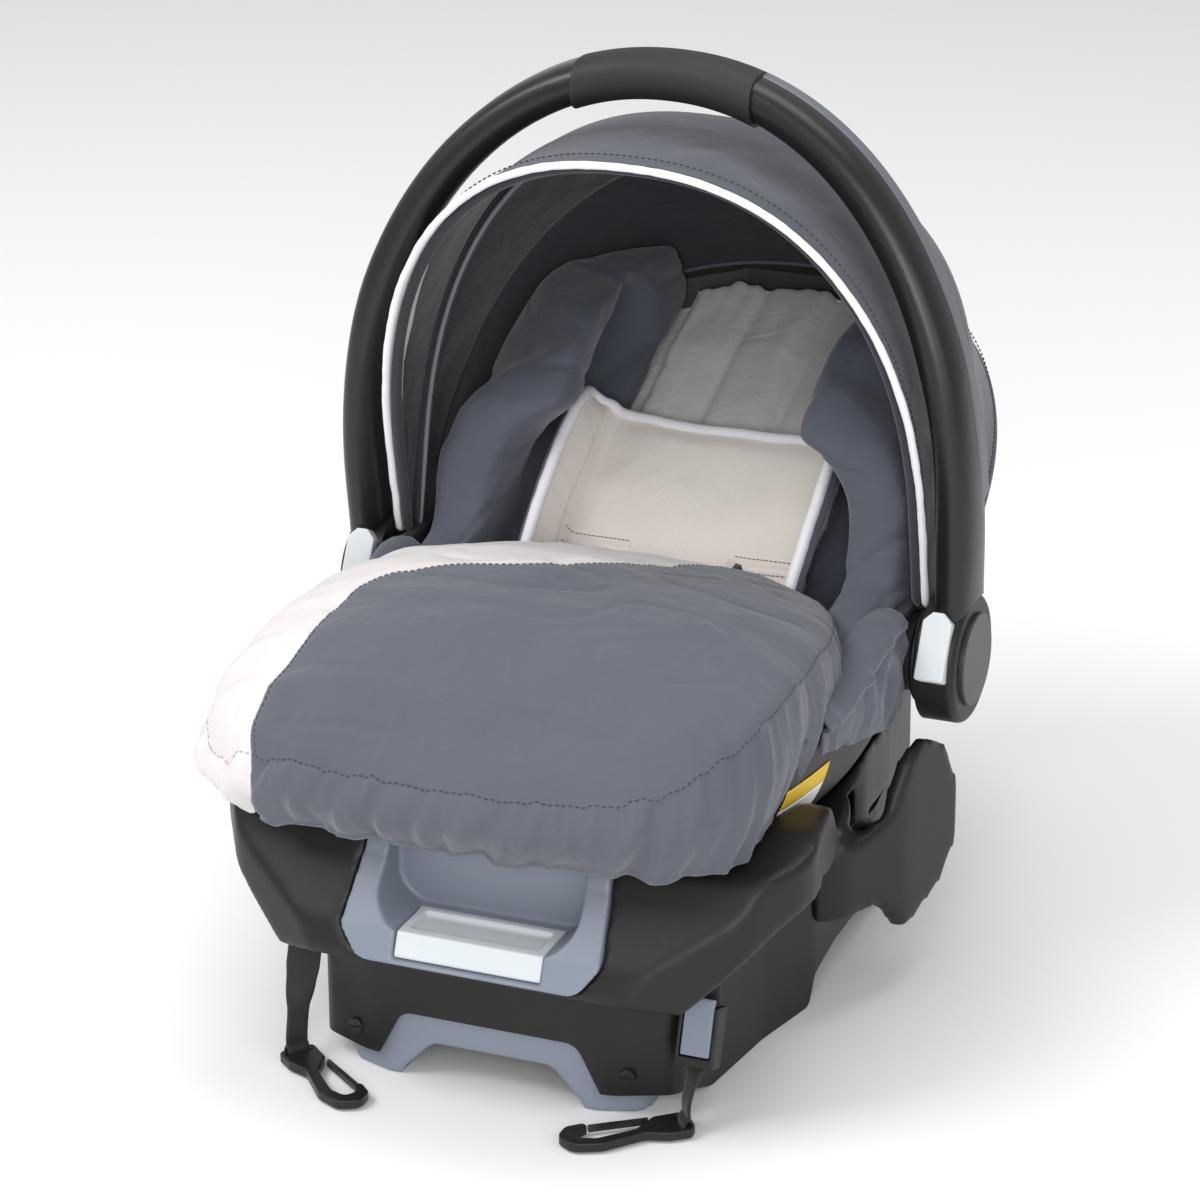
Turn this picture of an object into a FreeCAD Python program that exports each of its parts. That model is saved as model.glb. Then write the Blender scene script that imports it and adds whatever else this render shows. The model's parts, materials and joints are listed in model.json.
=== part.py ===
import FreeCAD, Part
import functools
import math
import os
from FreeCAD import Vector

os.makedirs("parts", exist_ok=True)

# Infant car seat: a bucket carrier with handle and canopy, standing on its stay-in-car base.
# Everything is drawn with the handle's hub axis at Y = 0 and the floor at Z = 0, front towards -Y,
# and each piece is moved by row_shift as it is written. Units are millimetres and degrees.

# carrier shell
shell_half = 172.0        # half width of the bucket over its side walls
shell_front = 278.0       # hub axis to the foot end
shell_rear = 281.0        # hub axis to the head end
shell_wall = 3.5
shell_bottom = 100.0      # lowest point of the bucket above the floor
rim_front = 226.0         # height of the rim at the foot end
rim_side = 246.0          # height of the rim beside the hubs
hub_height = 211.0        # hub axis above the floor

# hubs and handle
boss_r = 26.0
boss_length = 15.0        # from the shell's side to the hub housing
hub_gap = 0.5             # running gap beside the housing
hub_r = 42.0
hub_thick = 26.0
hub_wall = 4.0
badge_r = 30.0
badge_thick = 3.0
spigot_r = 14.0
spigot_clear = 0.08
lock_gear_r = 24.0
lock_teeth = 18
handle_reach = 356.0      # hub axis to the middle of the grip
handle_shoulder = 100.0   # height over the hub axis where the legs start to curve in
handle_square = 2.1       # how square the arch is, 2 being an ellipse
handle_thick = 13.0       # half thickness of the tube, seen from the front
handle_wide_low = 27.0    # half width of the tube, fore and aft, at the hub
handle_wide_top = 17.5
handle_set_back = 18.0    # how far behind the hub axis the grip stands
handle_bow = 12.0         # how far the legs bow forward half way up
grip_half = 60.0
grip_skin = 2.5
rib_low = 112.0           # height over the hub axis where the rear rib ends
rib_half = 4.5
button_wide = 19.0
button_long = 44.0
button_travel = 6.0
button_proud = 5.0
button_angle = 28.0       # how far above straight ahead the button faces
button_clear = 0.5

# canopy
canopy_reach = 325.0      # hub axis to the crown of the front bow
canopy_shoulder = 90.0
canopy_square = 2.32
canopy_skin = 2.5
canopy_pitch = 3.5        # radial step from one section to the section inside it
canopy_lean = 11.3        # how far the front bow leans forward
canopy_back = 62.0        # angle of the rear section's hem behind vertical
canopy_lap = 2.0
bow_angle = 1.8

# base
base_front = 318.0
base_rear = 135.0
base_half = 195.0
waist_half = 164.0
box_front_half = 118.0
box_half = 144.0
box_front = 285.0
box_top = 88.0
box_wall = 3.0
cradle_clear = 1.5
wing_half = 205.0
wing_thick = 6.0
slot_long = 34.0
slot_wide = 22.0
foot_half = 99.0
foot_clear = 0.8
lever_half = 48.0
lever_clear = 0.6
lever_travel = 12.0
bezel_half = 85.0

# soft goods
pad_thick = 16.0
pad_clear = 0.4
boot_thick = 14.0
boot_half = 189.0
boot_front = 314.0
boot_hem = 172.0
webbing_wide = 38.0
webbing_thick = 2.2
anchor_web = 25.0

hook_rest = 1.0
eye_right = Vector(131, -282, hook_rest)
eye_left = Vector(-131, -286, hook_rest)

row_shift = Vector(0, 20.0, 0)

hub_inner = shell_half + boss_length + hub_gap
hub_outer = hub_inner + hub_thick
leg_half = hub_inner + 16.5


def save(name, shape):
    moved = shape.copy()
    moved.translate(row_shift)
    moved.exportStep("parts/" + name + ".step")


def mirrored(shape):
    return shape.mirror(Vector(0, 0, 0), Vector(1, 0, 0))


def save_pair(name, right):
    save(name + "_right", right)
    save(name + "_left", mirrored(right))


def joined(shapes):
    result = shapes[0]
    for other in shapes[1:]:
        result = result.fuse(other)
    return result.removeSplitter()


def largest(shape):
    return max(shape.Solids, key=lambda solid: solid.Volume)


def box(x0, x1, y0, y1, z0, z1):
    return Part.makeBox(x1 - x0, y1 - y0, z1 - z0, Vector(x0, y0, z0))


def rod(radius, start, end):
    start, end = Vector(*start), Vector(*end)
    return Part.makeCylinder(radius, (end - start).Length, start, end - start)


def outline(corners, place):
    # closed wire with a rounded corner of radius r at each (u, v, r)
    count = len(corners)
    ends = []
    for i, (u, v, r) in enumerate(corners):
        here = Vector(u, v, 0)
        back = Vector(corners[i - 1][0], corners[i - 1][1], 0) - here
        ahead = Vector(corners[(i + 1) % count][0], corners[(i + 1) % count][1], 0) - here
        room = 0.45 * min(back.Length, ahead.Length)
        back.normalize()
        ahead.normalize()
        half = back.getAngle(ahead) / 2
        if r == 0 or half > math.radians(89):
            ends.append((here, None, here))
            continue
        run = min(r / math.tan(half), room)
        radius = run * math.tan(half)
        middle = (back + ahead).normalize()
        bulge = radius / math.sin(half) - radius
        ends.append((here + back * run, here + middle * bulge, here + ahead * run))
    edges = []
    for i, (start, mid, end) in enumerate(ends):
        if mid is not None:
            edges.append(Part.Arc(place(start), place(mid), place(end)).toShape())
        follow = ends[(i + 1) % count][0]
        if (follow - end).Length > 1e-6:
            edges.append(Part.makeLine(place(end), place(follow)))
    return Part.Wire(edges)


def prism_yz(corners, x0, x1):
    face = Part.Face(outline(corners, lambda p: Vector(x0, p.x, p.y)))
    return face.extrude(Vector(x1 - x0, 0, 0))


def prism_xz(corners, y0, y1):
    face = Part.Face(outline(corners, lambda p: Vector(p.x, y0, p.y)))
    return face.extrude(Vector(0, y1 - y0, 0))


def prism_xy(corners, z0, z1):
    face = Part.Face(outline(corners, lambda p: Vector(p.x, p.y, z0)))
    return face.extrude(Vector(0, 0, z1 - z0))


def both_sides(half):
    # an outline given on its right half only, from the middle round to the middle
    return half + [(-u, v, r) for u, v, r in reversed(half)]


def power(value, exponent):
    return math.copysign(abs(value) ** exponent, value)


def ring(centre, across, up, half_across, half_up, square, count=20):
    # smooth closed curve, a superellipse in the plane of across and up
    points = []
    for i in range(count):
        turn = 2 * math.pi * (i + 0.5) / count
        u = half_across * power(math.cos(turn), 2 / square)
        v = half_up * power(math.sin(turn), 2 / square)
        points.append(centre + across * u + up * v)
    curve = Part.BSplineCurve()
    curve.interpolate(Points=points, PeriodicFlag=True)
    return Part.Wire(curve.toShape())


def loft(wires):
    return Part.makeLoft(wires, True, False)


# carrier shell ---------------------------------------------------------------

tan_back = math.tan(math.radians(canopy_back))


def rim_rear(y):
    # the head end of the rim lies in the plane of the canopy's rear hem
    return hub_height + y / tan_back


# stations along the bucket: share of its half length, share of its half width, and the depth of the
# bucket's outside above its lowest point
shell_stations = [
    (-1.0, 0.50, 92.0), (-0.965, 0.68, 70.0), (-0.88, 0.83, 47.0), (-0.72, 0.93, 26.0), (-0.5, 0.98, 10.0),
    (-0.22, 1.0, 2.5), (0.0, 1.0, 0.0), (0.22, 1.0, 9.0), (0.42, 0.99, 33.0), (0.6, 0.95, 66.0),
    (0.75, 0.85, 98.0), (0.87, 0.69, 126.0), (0.95, 0.48, 154.0), (1.0, 0.28, 186.0)]


def shell_rim(share):
    y = share * (shell_rear if share > 0 else shell_front)
    if y > 60:
        return rim_rear(y)
    return rim_side if y > -60 else rim_front


@functools.lru_cache(maxsize=None)
def bucket(grow, square=2.7):
    # the bucket's outside, grown outwards by grow all over; its upper half is cut off later
    wires = []
    for share, width, depth in shell_stations:
        length = shell_rear if share > 0 else shell_front
        y = share * (length + grow)
        centre = Vector(0, y, shell_rim(share))
        high = shell_rim(share) - shell_bottom - depth + grow
        half = shell_half * width + grow
        wires.append(ring(centre, Vector(1, 0, 0), Vector(0, 0, 1), half, high, square))
    return loft(wires)


rim_corners = [
    (-shell_front - 60, rim_front, 0), (-130, rim_front, 60), (-60, rim_side, 60), (62, rim_side, 40),
    (shell_rear + 80, rim_rear(shell_rear + 80), 0), (shell_rear + 80, 900, 0), (-shell_front - 60, 900, 0)]
above_rim = prism_yz(rim_corners, -300, 300)

shell_outer = bucket(0.0).cut(above_rim)
shell_inner = bucket(-shell_wall)
pad_outer = bucket(-shell_wall - pad_clear)


def make_shell():
    boss = rod(boss_r, (shell_half - 8, 0, hub_height), (shell_half + boss_length, 0, hub_height))
    body = shell_outer.fuse(boss).fuse(mirrored(boss))
    body = body.cut(shell_inner)
    flange = bucket(4.0).cut(above_rim).cut(bucket(0.0))
    lowered = [(y, z - 5.0 if i < 5 else z, r) for i, (y, z, r) in enumerate(rim_corners)]
    lip_top = prism_yz(lowered, -300, 300)
    return body.fuse(flange.common(lip_top))



save("carrier_shell", make_shell())

# hubs and handle -------------------------------------------------------------

arch_high = handle_reach - handle_shoulder


def arch_point(turn):
    # middle of the tube; turn runs from 0 at the right shoulder to 180 at the left one
    c, s = math.cos(math.radians(turn)), math.sin(math.radians(turn))
    x = leg_half * power(c, 2 / handle_square)
    high = handle_shoulder + arch_high * power(s, 2 / handle_square)
    return tube_point(x, high)


def tube_point(x, high):
    share = high / handle_reach
    y = handle_set_back * share ** 3 - handle_bow * math.sin(math.pi * share) + 4 * (1 - share) ** 2
    return Vector(x, y, hub_height + high)


def tube_wide(high):
    share = min(1.0, max(0.0, (high - 20) / (handle_reach - 20)))
    return handle_wide_top + (handle_wide_low - handle_wide_top) * (1 - share) ** 1.3


leg_heights = [18.0, 60.0]
arch_turns = [4, 16, 30, 44, 56, 66, 76, 84, 90, 96, 104, 114, 124, 136, 150, 164, 176]


def tube_stations():
    right = [tube_point(leg_half, high) for high in leg_heights]
    left = [Vector(-p.x, p.y, p.z) for p in reversed(right)]
    return right + [arch_point(turn) for turn in arch_turns] + left


def tube_frames():
    points = tube_stations()
    frames = []
    for i, p in enumerate(points):
        run = points[min(i + 1, len(points) - 1)] - points[max(i - 1, 0)]
        out = Vector(run.z, 0, -run.x).normalize()
        frames.append((p, out))
    return frames


frames = tube_frames()


def tube(grow, first=0, last=None):
    wires = []
    for p, out in frames[first:last]:
        wide = tube_wide(p.z - hub_height) + grow
        wires.append(ring(p, out, Vector(0, 1, 0), handle_thick + grow, wide, 2.5, 16))
    return loft(wires)


def make_handle():
    beyond = hub_outer + badge_thick + 4
    hubs = rod(hub_r, (-beyond, 0, hub_height), (beyond, 0, hub_height))
    button_room = button_block(button_clear, lock_gear_r, hub_r + 10)
    whole = tube(0.0).cut(hubs).cut(button_room).cut(mirrored(button_room))
    rib = make_rib()
    grip_room = box(-grip_half, grip_half, -60, 90, hub_height + 250, hub_height + 420)
    grip = tube(grip_skin, 7, -7).common(grip_room).cut(whole)
    return whole.cut(rib), rib.cut(grip), grip


def make_rib():
    # grey strip let into the outer rear edge of the tube
    wires = []
    for p, out in frames[1:-1]:
        wide = tube_wide(p.z - hub_height)
        centre = p + out * (handle_thick - rib_half + 0.6) + Vector(0, wide * 0.52, 0)
        wires.append(ring(centre, out, Vector(0, 1, 0), rib_half, wide * 0.40, 3.0, 12))
    strip = loft(wires)
    low = hub_height + rib_low
    cut_line = [(-60, low - 20, 0), (90, low + 20, 0), (90, low - 200, 0), (-60, low - 200, 0)]
    ends = prism_yz(cut_line, -300, 300)
    return strip.cut(ends)


face_way = Vector(0, -math.cos(math.radians(button_angle)), math.sin(math.radians(button_angle)))
button_turn = 90 - button_angle
hub_middle = (hub_inner + hub_outer) / 2
hub_point = Vector(0, 0, hub_height)


def turned(shape):
    # from pointing up out of the hub to the way the button faces
    return shape.rotate(hub_point, Vector(1, 0, 0), button_turn)


def button_block(clear, low, high):
    w = button_wide / 2 + clear
    h = button_long / 2 + clear
    x = hub_middle - 1.0
    cut = 6.0
    corners = [(x - w, -h, 2), (x + w, -h, 2), (x + w, h - cut, 2), (x + w - cut, h, 1),
               (x - w + cut, h, 1), (x - w, h - cut, 2)]
    block = prism_xy(corners, hub_height + low, hub_height + high)
    return turned(block)


badge_inner = hub_outer - badge_thick + 0.4


def make_housing():
    body = rod(hub_r, (hub_inner, 0, hub_height), (hub_outer, 0, hub_height))
    rim = [e for e in body.Edges if len(e.Vertexes) == 1 and abs(e.CenterOfMass.x - hub_outer) < 0.01]
    body = body.makeFillet(5.0, rim)
    cavity_r = lock_gear_r + 1.0
    cavity = rod(cavity_r, (hub_inner + hub_wall, 0, hub_height), (hub_outer + 1, 0, hub_height))
    bore = rod(spigot_r + spigot_clear, (hub_inner - 1, 0, hub_height), (hub_outer, 0, hub_height))
    seat = rod(badge_r + 0.2, (badge_inner, 0, hub_height), (hub_outer + 1, 0, hub_height))
    pocket = button_block(button_clear, lock_gear_r - 2.0, hub_r + 10)
    return body.cut(cavity).cut(bore).cut(seat).cut(pocket)


def make_badge():
    disc = rod(badge_r, (badge_inner, 0, hub_height), (hub_outer + badge_thick, 0, hub_height))
    rim = [e for e in disc.Edges if len(e.Vertexes) == 1 and e.CenterOfMass.x > hub_outer]
    return disc.makeFillet(1.2, rim)


def make_button():
    top = hub_r + button_proud - 1.0
    low = lock_gear_r + 1.2 + button_travel
    return button_block(0.0, low, top)


def make_pivot():
    # fixed spigot and toothed lock ring at the end of each boss
    spigot = rod(spigot_r, (shell_half + boss_length, 0, hub_height), (hub_inner + 17.0, 0, hub_height))
    points = []
    for i in range(lock_teeth * 2):
        radius = lock_gear_r if i % 2 == 0 else lock_gear_r - 3.5
        turn = math.pi * (i + 0.5) / lock_teeth
        points.append(Vector(hub_inner + 7, radius * math.cos(turn), hub_height + radius * math.sin(turn)))
    gear = Part.Face(Part.makePolygon(points + points[:1])).extrude(Vector(7, 0, 0))
    return spigot.fuse(gear).removeSplitter()


handle_frame, handle_rib, handle_grip = make_handle()
save("handle_frame", handle_frame)
save("handle_rear_rib", handle_rib)
save("handle_grip", handle_grip)
save_pair("hub_housing", make_housing())
save_pair("hub_badge", make_badge())
save_pair("handle_button", make_button())
save_pair("handle_pivot", make_pivot())

# canopy ----------------------------------------------------------------------

canopy_half = shell_half + boss_length - 3.0
ring_out = boss_r + 6.0


def canopy_curve(drop):
    # outside of the canopy as (x, distance from the hub axis), drop inside the front section
    half, reach = canopy_half - drop, canopy_reach - drop
    points = [(half, ring_out), (half, canopy_shoulder)]
    for turn in (12, 24, 36, 48, 60, 70, 80, 90):
        c, s = math.cos(math.radians(turn)), math.sin(math.radians(turn))
        high = canopy_shoulder + (reach - canopy_shoulder) * power(s, 2 / canopy_square)
        points.append((half * power(c, 2 / canopy_square), high))
    points[-1] = (0.0, reach)
    return points


def canopy_section(layer, front, back, thick=None):
    # angles run backwards from vertical
    thick = thick or canopy_skin
    drop = layer * canopy_pitch
    rings = []
    for more in (drop, drop + thick):
        half = [Vector(x, 0, hub_height + r) for x, r in canopy_curve(more)]
        whole = half + [Vector(-p.x, p.y, p.z) for p in reversed(half[:-1])]
        curve = Part.BSplineCurve()
        curve.interpolate(whole[1:-1])
        rings.append((whole[0], curve, whole[-1]))
    (a0, outer, a1), (b0, inner, b1) = rings
    edges = [Part.makeLine(a0, outer.StartPoint), outer.toShape(), Part.makeLine(outer.EndPoint, a1),
             Part.makeLine(a1, b1), Part.makeLine(b1, inner.EndPoint), inner.toShape(),
             Part.makeLine(inner.StartPoint, b0), Part.makeLine(b0, a0)]
    face = Part.Face(Part.Wire(Part.__sortEdges__(edges)))
    face.rotate(hub_point, Vector(1, 0, 0), -front)
    return face.revolve(hub_point, Vector(1, 0, 0), -(back - front))


def bow_ring(layer, front, back):
    # the bow's ends are rings that turn on the hub bosses
    out = canopy_half - layer * canopy_pitch
    ring_r = boss_r + 0.3
    disc = rod(ring_out, (out - canopy_skin, 0, hub_height), (out, 0, hub_height))
    disc = disc.cut(rod(ring_r, (out - 10, 0, hub_height), (out + 10, 0, hub_height)))
    return joined([canopy_section(layer, front, back), disc, mirrored(disc)])


span = (canopy_lean + canopy_back) / 3
front_start = -canopy_lean + bow_angle
mid_start = -canopy_lean + span - canopy_lap
rear_start = -canopy_lean + 2 * span - canopy_lap
save("canopy_front_bow", bow_ring(0, -canopy_lean, front_start))
save("canopy_front_fabric", canopy_section(0, front_start, -canopy_lean + span))
save("canopy_middle_bow", bow_ring(1, mid_start, mid_start + bow_angle))
save("canopy_middle_fabric", canopy_section(1, mid_start + bow_angle, -canopy_lean + 2 * span))


def rear_section():
    # the rear hem clips over the rim of the bucket
    rim_line = [(y, z + 0.6, r) for y, z, r in rim_corners[:5]]
    low_corners = [(shell_rear + 80, -100, 0), (-shell_front - 60, -100, 0)]
    below_rim = prism_yz(rim_line + low_corners, -300, 300)
    section = canopy_section(2, rear_start, canopy_back).cut(bucket(4.5).common(below_rim))
    return largest(section)


def canopy_inside():
    half = [Vector(x, 0, hub_height + r) for x, r in canopy_curve(2 * canopy_pitch + canopy_skin + 0.6)]
    whole = half + [Vector(-p.x, p.y, p.z) for p in reversed(half[:-1])]
    curve = Part.BSplineCurve()
    curve.interpolate(whole)
    ends = [Vector(p.x, 0, hub_height) for p in (whole[-1], whole[0])]
    edges = [curve.toShape(), Part.makeLine(whole[-1], ends[0]), Part.makeLine(*ends),
             Part.makeLine(ends[1], whole[0])]
    return Part.Face(Part.Wire(edges)).revolve(hub_point, Vector(1, 0, 0), 360)


save("canopy_rear_fabric", rear_section())

# base ------------------------------------------------------------------------


def base_block(shrink):
    # upper body of the base: what its plan, its side view and its front view have in common
    f, w = base_front, base_half
    plan = both_sides([(100, -f, 26), (168, -f + 34, 30), (w, -f + 76, 40), (waist_half + 18, -180, 60),
                       (waist_half, -105, 40), (waist_half - 12, 20, 40), (waist_half - 30, base_rear, 40)])
    side = [(-f, 93, 4), (-f + 26, 82, 12), (-262, 74, 10), (-240, 132, 24), (-202, 143, 22), (-165, 124, 16),
            (-122, 70, 8), (-60, 52, 20), (60, 46, 20), (base_rear, 60, 8), (base_rear, 168, 14),
            (60, 162, 30), (-40, 158, 24), (-112, 126, 30), (-165, 174, 34), (-222, 179, 26), (-274, 167, 14),
            (-f + 34, 150, 8), (-f + 7, 113, 4)]
    front = both_sides([(box_front_half + 1, 40, 0), (box_front_half + 2, 74, 8), (152, 104, 14), (180, 134, 14),
                        (w + 1, 146, 12), (w + 3, 230, 0)])
    shapes = []
    for corners, place, way in (
            (plan, lambda p: Vector(p.x, p.y, -20), Vector(0, 0, 300)),
            (side, lambda p: Vector(-300, p.x, p.y), Vector(600, 0, 0)),
            (front, lambda p: Vector(p.x, -400, p.y), Vector(0, 800, 0))):
        face = Part.Face(outline(corners, place))
        if shrink:
            face = face.makeOffset2D(-shrink)
        shapes.append(face.extrude(way))
    return shapes[0].common(shapes[1]).common(shapes[2])


box_plan = both_sides([(80, -box_front, 40), (box_front_half, -box_front + 17, 14), (131, -156, 40),
                       (box_half, -98, 40), (box_half, 20, 40), (box_half - 16, base_rear - 4, 20)])
box_side = [(-400, 16, 0), (-262, 14, 10), (-225, 0, 20), (-104, 0, 6), (-96, 20, 8), (-60, 27, 20), (40, 30, 20),
            (70, 0, 16), (400, 0, 0), (400, box_top, 0), (-400, box_top, 0)]


def lower_box(shrink):
    face = Part.Face(outline(box_plan, lambda p: Vector(p.x, p.y, -10)))
    if shrink:
        face = face.makeOffset2D(-shrink)
    return face.extrude(Vector(0, 0, box_top + 10))


def make_lower():
    walls = lower_box(0).cut(lower_box(box_wall)).common(prism_yz(box_side, -300, 300))
    arch = prism_xz([(-76, -20, 0), (-74, 14, 6), (-58, 45, 12), (58, 45, 12), (74, 14, 6), (76, -20, 0)],
                    -box_front - 5, -box_front + 30)
    return walls.cut(arch).cut(screw_holes())


screw_places = [(91, 28), (-91, 28)]


def screw_holes():
    return joined([rod(2.6, (x, -box_front - 8, z), (x, -box_front + 20, z)) for x, z in screw_places])


def make_screws():
    heads = []
    for x, z in screw_places:
        face_y = -box_front + 4.9
        groove = box(x - 6, x + 6, face_y - 8, face_y - 2.2, z - 0.7, z + 0.7)
        head = rod(5.0, (x, face_y - 3.0, z), (x, face_y, z)).cut(groove)
        shank = rod(2.5, (x, face_y, z), (x, face_y + 3.4, z))
        heads.append(head.fuse(shank).cut(lower_box(0).cut(lower_box(box_wall)).cut(screw_holes())))
    return Part.makeCompound(heads)


bezel_side = [(-base_front - 1, 94, 2), (-base_front + 6, 113.5, 3), (-base_front + 33, 151, 6),
              (-base_front + 41, 168, 3), (-base_front + 56, 168, 3), (-base_front + 56, 94, 3)]
bezel_front = both_sides([(bezel_half - 14, 94, 18), (bezel_half, 112, 10), (bezel_half - 8, 180, 0)])
lever_back = -base_front + 45.0
arm_x, arm_half = 34.0, 5.0


def bezel_block():
    return prism_yz(bezel_side, -120, 120).common(prism_xz(bezel_front, -360, -200))


def lever_room():
    wide = lever_half + lever_clear
    channel = box(-wide, wide, -360, lever_back + lever_clear, 97.4, 200)
    arms = arm_holes(0.8)
    return channel.fuse(arms)


def arm_holes(clear):
    reach = arm_half + clear
    right = box(arm_x - reach, arm_x + reach, lever_back - 4, -214, 99 - clear, 105 + clear)
    return right.fuse(mirrored(right))


def make_bezel():
    recess = prism_xz(both_sides([(52, 114, 16), (66, 128, 20), (62, 200, 0)]), -360, -base_front + 51)
    return bezel_block().cut(recess).cut(lever_room()).cut(bucket(cradle_clear))


def make_lever():
    side = [(-base_front + 2, 98, 1.5), (-base_front + 8.5, 113.5, 2), (lever_back, 114.5, 1), (lever_back, 106, 1),
            (-base_front + 20, 98, 1)]
    plate = prism_yz(side, -lever_half, lever_half)
    dish = prism_yz([(-base_front + 16, 120, 0), (-base_front + 16, 111, 3), (lever_back - 6, 111, 3),
                     (lever_back - 6, 120, 0)], -lever_half + 6, lever_half - 6)
    crossbar = box(-arm_x - arm_half, arm_x + arm_half, -220, -212, 99, 105)
    pawl = prism_yz([(-212, 99, 0), (-212, 105, 0), (-207.5, 103.4, 0), (-207.5, 100.6, 0)], -14, 14)
    return joined([plate.cut(dish), arm_holes(0.0), crossbar, pawl])


def make_foot():
    # front leg of the recline adjuster: an open tray with an arched front
    y0, y1 = -box_front + box_wall + foot_clear, -190
    outer = prism_xy([(-foot_half, y0 + 10, 14), (-70, y0, 30), (70, y0, 30), (foot_half, y0 + 10, 14),
                      (foot_half, y1, 8), (-foot_half, y1, 8)], 0, 66)
    inner = prism_xy([(-foot_half + 4, y0 + 13, 10), (-70, y0 + 4, 26), (70, y0 + 4, 26), (foot_half - 4, y0 + 13, 10),
                      (foot_half - 4, y1 - 4, 6), (-foot_half + 4, y1 - 4, 6)], 4, 80)
    arch = prism_xz([(-62, -20, 0), (-60, 3, 6), (-40, 24, 10), (40, 24, 10), (60, 3, 6), (62, -20, 0)], -300, -150)
    return outer.cut(inner).cut(arch)


def make_rack():
    # toothed strip on the foot's rear wall, held by the lever's pawl
    front_y, back_y = -206.0, -194.4
    strip = box(-16, 16, front_y, back_y, 30, 116)
    notches = [box(-15, 15, front_y - 1, front_y + 3, z - 4, z + 4) for z in (57, 72, 87, 102)]
    return strip.cut(joined(notches))


def bar_bracket():
    return Vector(0, 100.0, 101.0)


bar_r = 4.0
bar_half = 62.0


def make_latch_bar():
    p = bar_bracket()
    lug = box(bar_half - 6, bar_half, p.y - 7, p.y + 7, p.z - 6, p.z + 30)
    whole = joined([rod(bar_r, (-bar_half, p.y, p.z), (bar_half, p.y, p.z)), lug, mirrored(lug)])
    return whole.cut(bucket(0.0))


def bar_well(wall):
    # the pit in the base that the latch bar drops into, grown by the thickness of its walls
    p = bar_bracket()
    half = bar_half + 6 + wall
    return box(-half, half, p.y - 12 - wall, p.y + 20 + wall, p.z - 12 - wall, 150)


def make_catches():
    p = bar_bracket()
    side = [(p.y + 8, p.z - 12, 0), (p.y + 20, p.z - 12, 0), (p.y + 20, p.z + 7, 3), (p.y + 6, p.z + 7, 2),
            (p.y + bar_r + 1.2, p.z + 1, 1), (p.y + 8, p.z - 2, 1)]
    right = prism_yz(side, 30, 44)
    return Part.makeCompound([right, mirrored(right)])


def make_wing():
    w = wing_half
    plan = [(waist_half - 14, -132, 6), (waist_half + 6, -122, 30), (w - 12, -62, 60), (w, 4, 4),
            (w - wing_thick, 7, 3), (w - 20, -52, 60), (waist_half + 4, -98, 30), (waist_half - 14, -98, 6)]
    side = [(-140, 128, 0), (-110, 120, 20), (-78, 128, 16), (-58, 162, 10), (-40, 170, 14), (-12, 156, 26), (8, 118, 30), (6, 82, 26),
            (-18, 58, 20), (-62, 44, 6), (-73, 58, 4), (-86, 72, 6), (-140, 72, 0)]
    blade = prism_xy(plan, 30, 200).common(prism_yz(side, 100, 260))
    ledge = prism_xy([(waist_half - 24, -128, 4), (waist_half + 6, -118, 20), (w - 14, -62, 30), (w - 8, -34, 4),
                      (waist_half - 24, -34, 4)], 88, 104)
    hole = box(slot_x, slot_x + slot_wide, slot_y, slot_y + slot_long, 60, 140)
    return blade.fuse(ledge.cut(blade)).cut(hole)


slot_x, slot_y = waist_half - 6, -80.0
recess_top = 97.6           # top of the recess that each anchor strap hangs in


def make_upper():
    body = base_block(0)
    wing = make_wing()
    whole = joined([body, wing, mirrored(wing)])
    hole = box(slot_x, slot_x + slot_wide, slot_y, slot_y + slot_long, 20, 200)
    cradle = bucket(cradle_clear)
    cavity = base_block(4.0).cut(bucket(cradle_clear + 4.0))
    cavity = cavity.cut(bezel_block()).cut(box(-140, 140, -400, -base_front + 60, 0, 300))
    well = bar_well(0.0)
    cavity = cavity.cut(bar_well(3.0))
    whole = whole.cut(bezel_block()).cut(lever_room())
    for eye in (eye_left, eye_right):
        whole = whole.cut(box(eye.x - 15, eye.x + 16, -276, -243, 40, recess_top))
        cavity = cavity.cut(box(eye.x - 19, eye.x + 20, -300, -239, 40, recess_top + 4))
    whole = whole.cut(cavity).cut(cradle).cut(hole).cut(mirrored(hole)).cut(well)
    drop = box(-box_half - 40, box_half + 40, -400, 400, -20, box_top)
    solid_box = lower_box(0)
    return whole.cut(solid_box.common(drop))


save("base_lower", make_lower())
save("base_screws", make_screws())
save("recline_bezel", make_bezel())
save("recline_lever", make_lever())
save("recline_foot", make_foot())
save("recline_rack", make_rack())
save("carrier_latch_bar", make_latch_bar())
save("base_catches", make_catches())
save("base_upper", make_upper())

# seat pads, insert and boot --------------------------------------------------

# side view of the padded surface that the child lies on: (y, z)
seat_line = [(-250, 196), (-205, 164), (-150, 146), (-95, 144), (-50, 156), (-15, 184), (33, 226), (118, 286),
             (200, 324), (256, 346)]
panel_half = 78.0
insert_half = 92.0
insert_thick = 10.0
insert_wing = 38.0          # how far its side wings stand above the seat
insert_wing_thick = 11.0
bolster_thick = 40.0
foam_thick = 14.0


def under_line(drop):
    # everything below the padded surface lowered by drop
    corners = [(y, z - drop, 30) for y, z in seat_line]
    corners[0], corners[-1] = (-330, 240 - drop, 0), (330, seat_line[-1][1] + 26 - drop, 0)
    return prism_yz(corners + [(330, -50, 0), (-330, -50, 0)], -250, 250)


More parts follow.
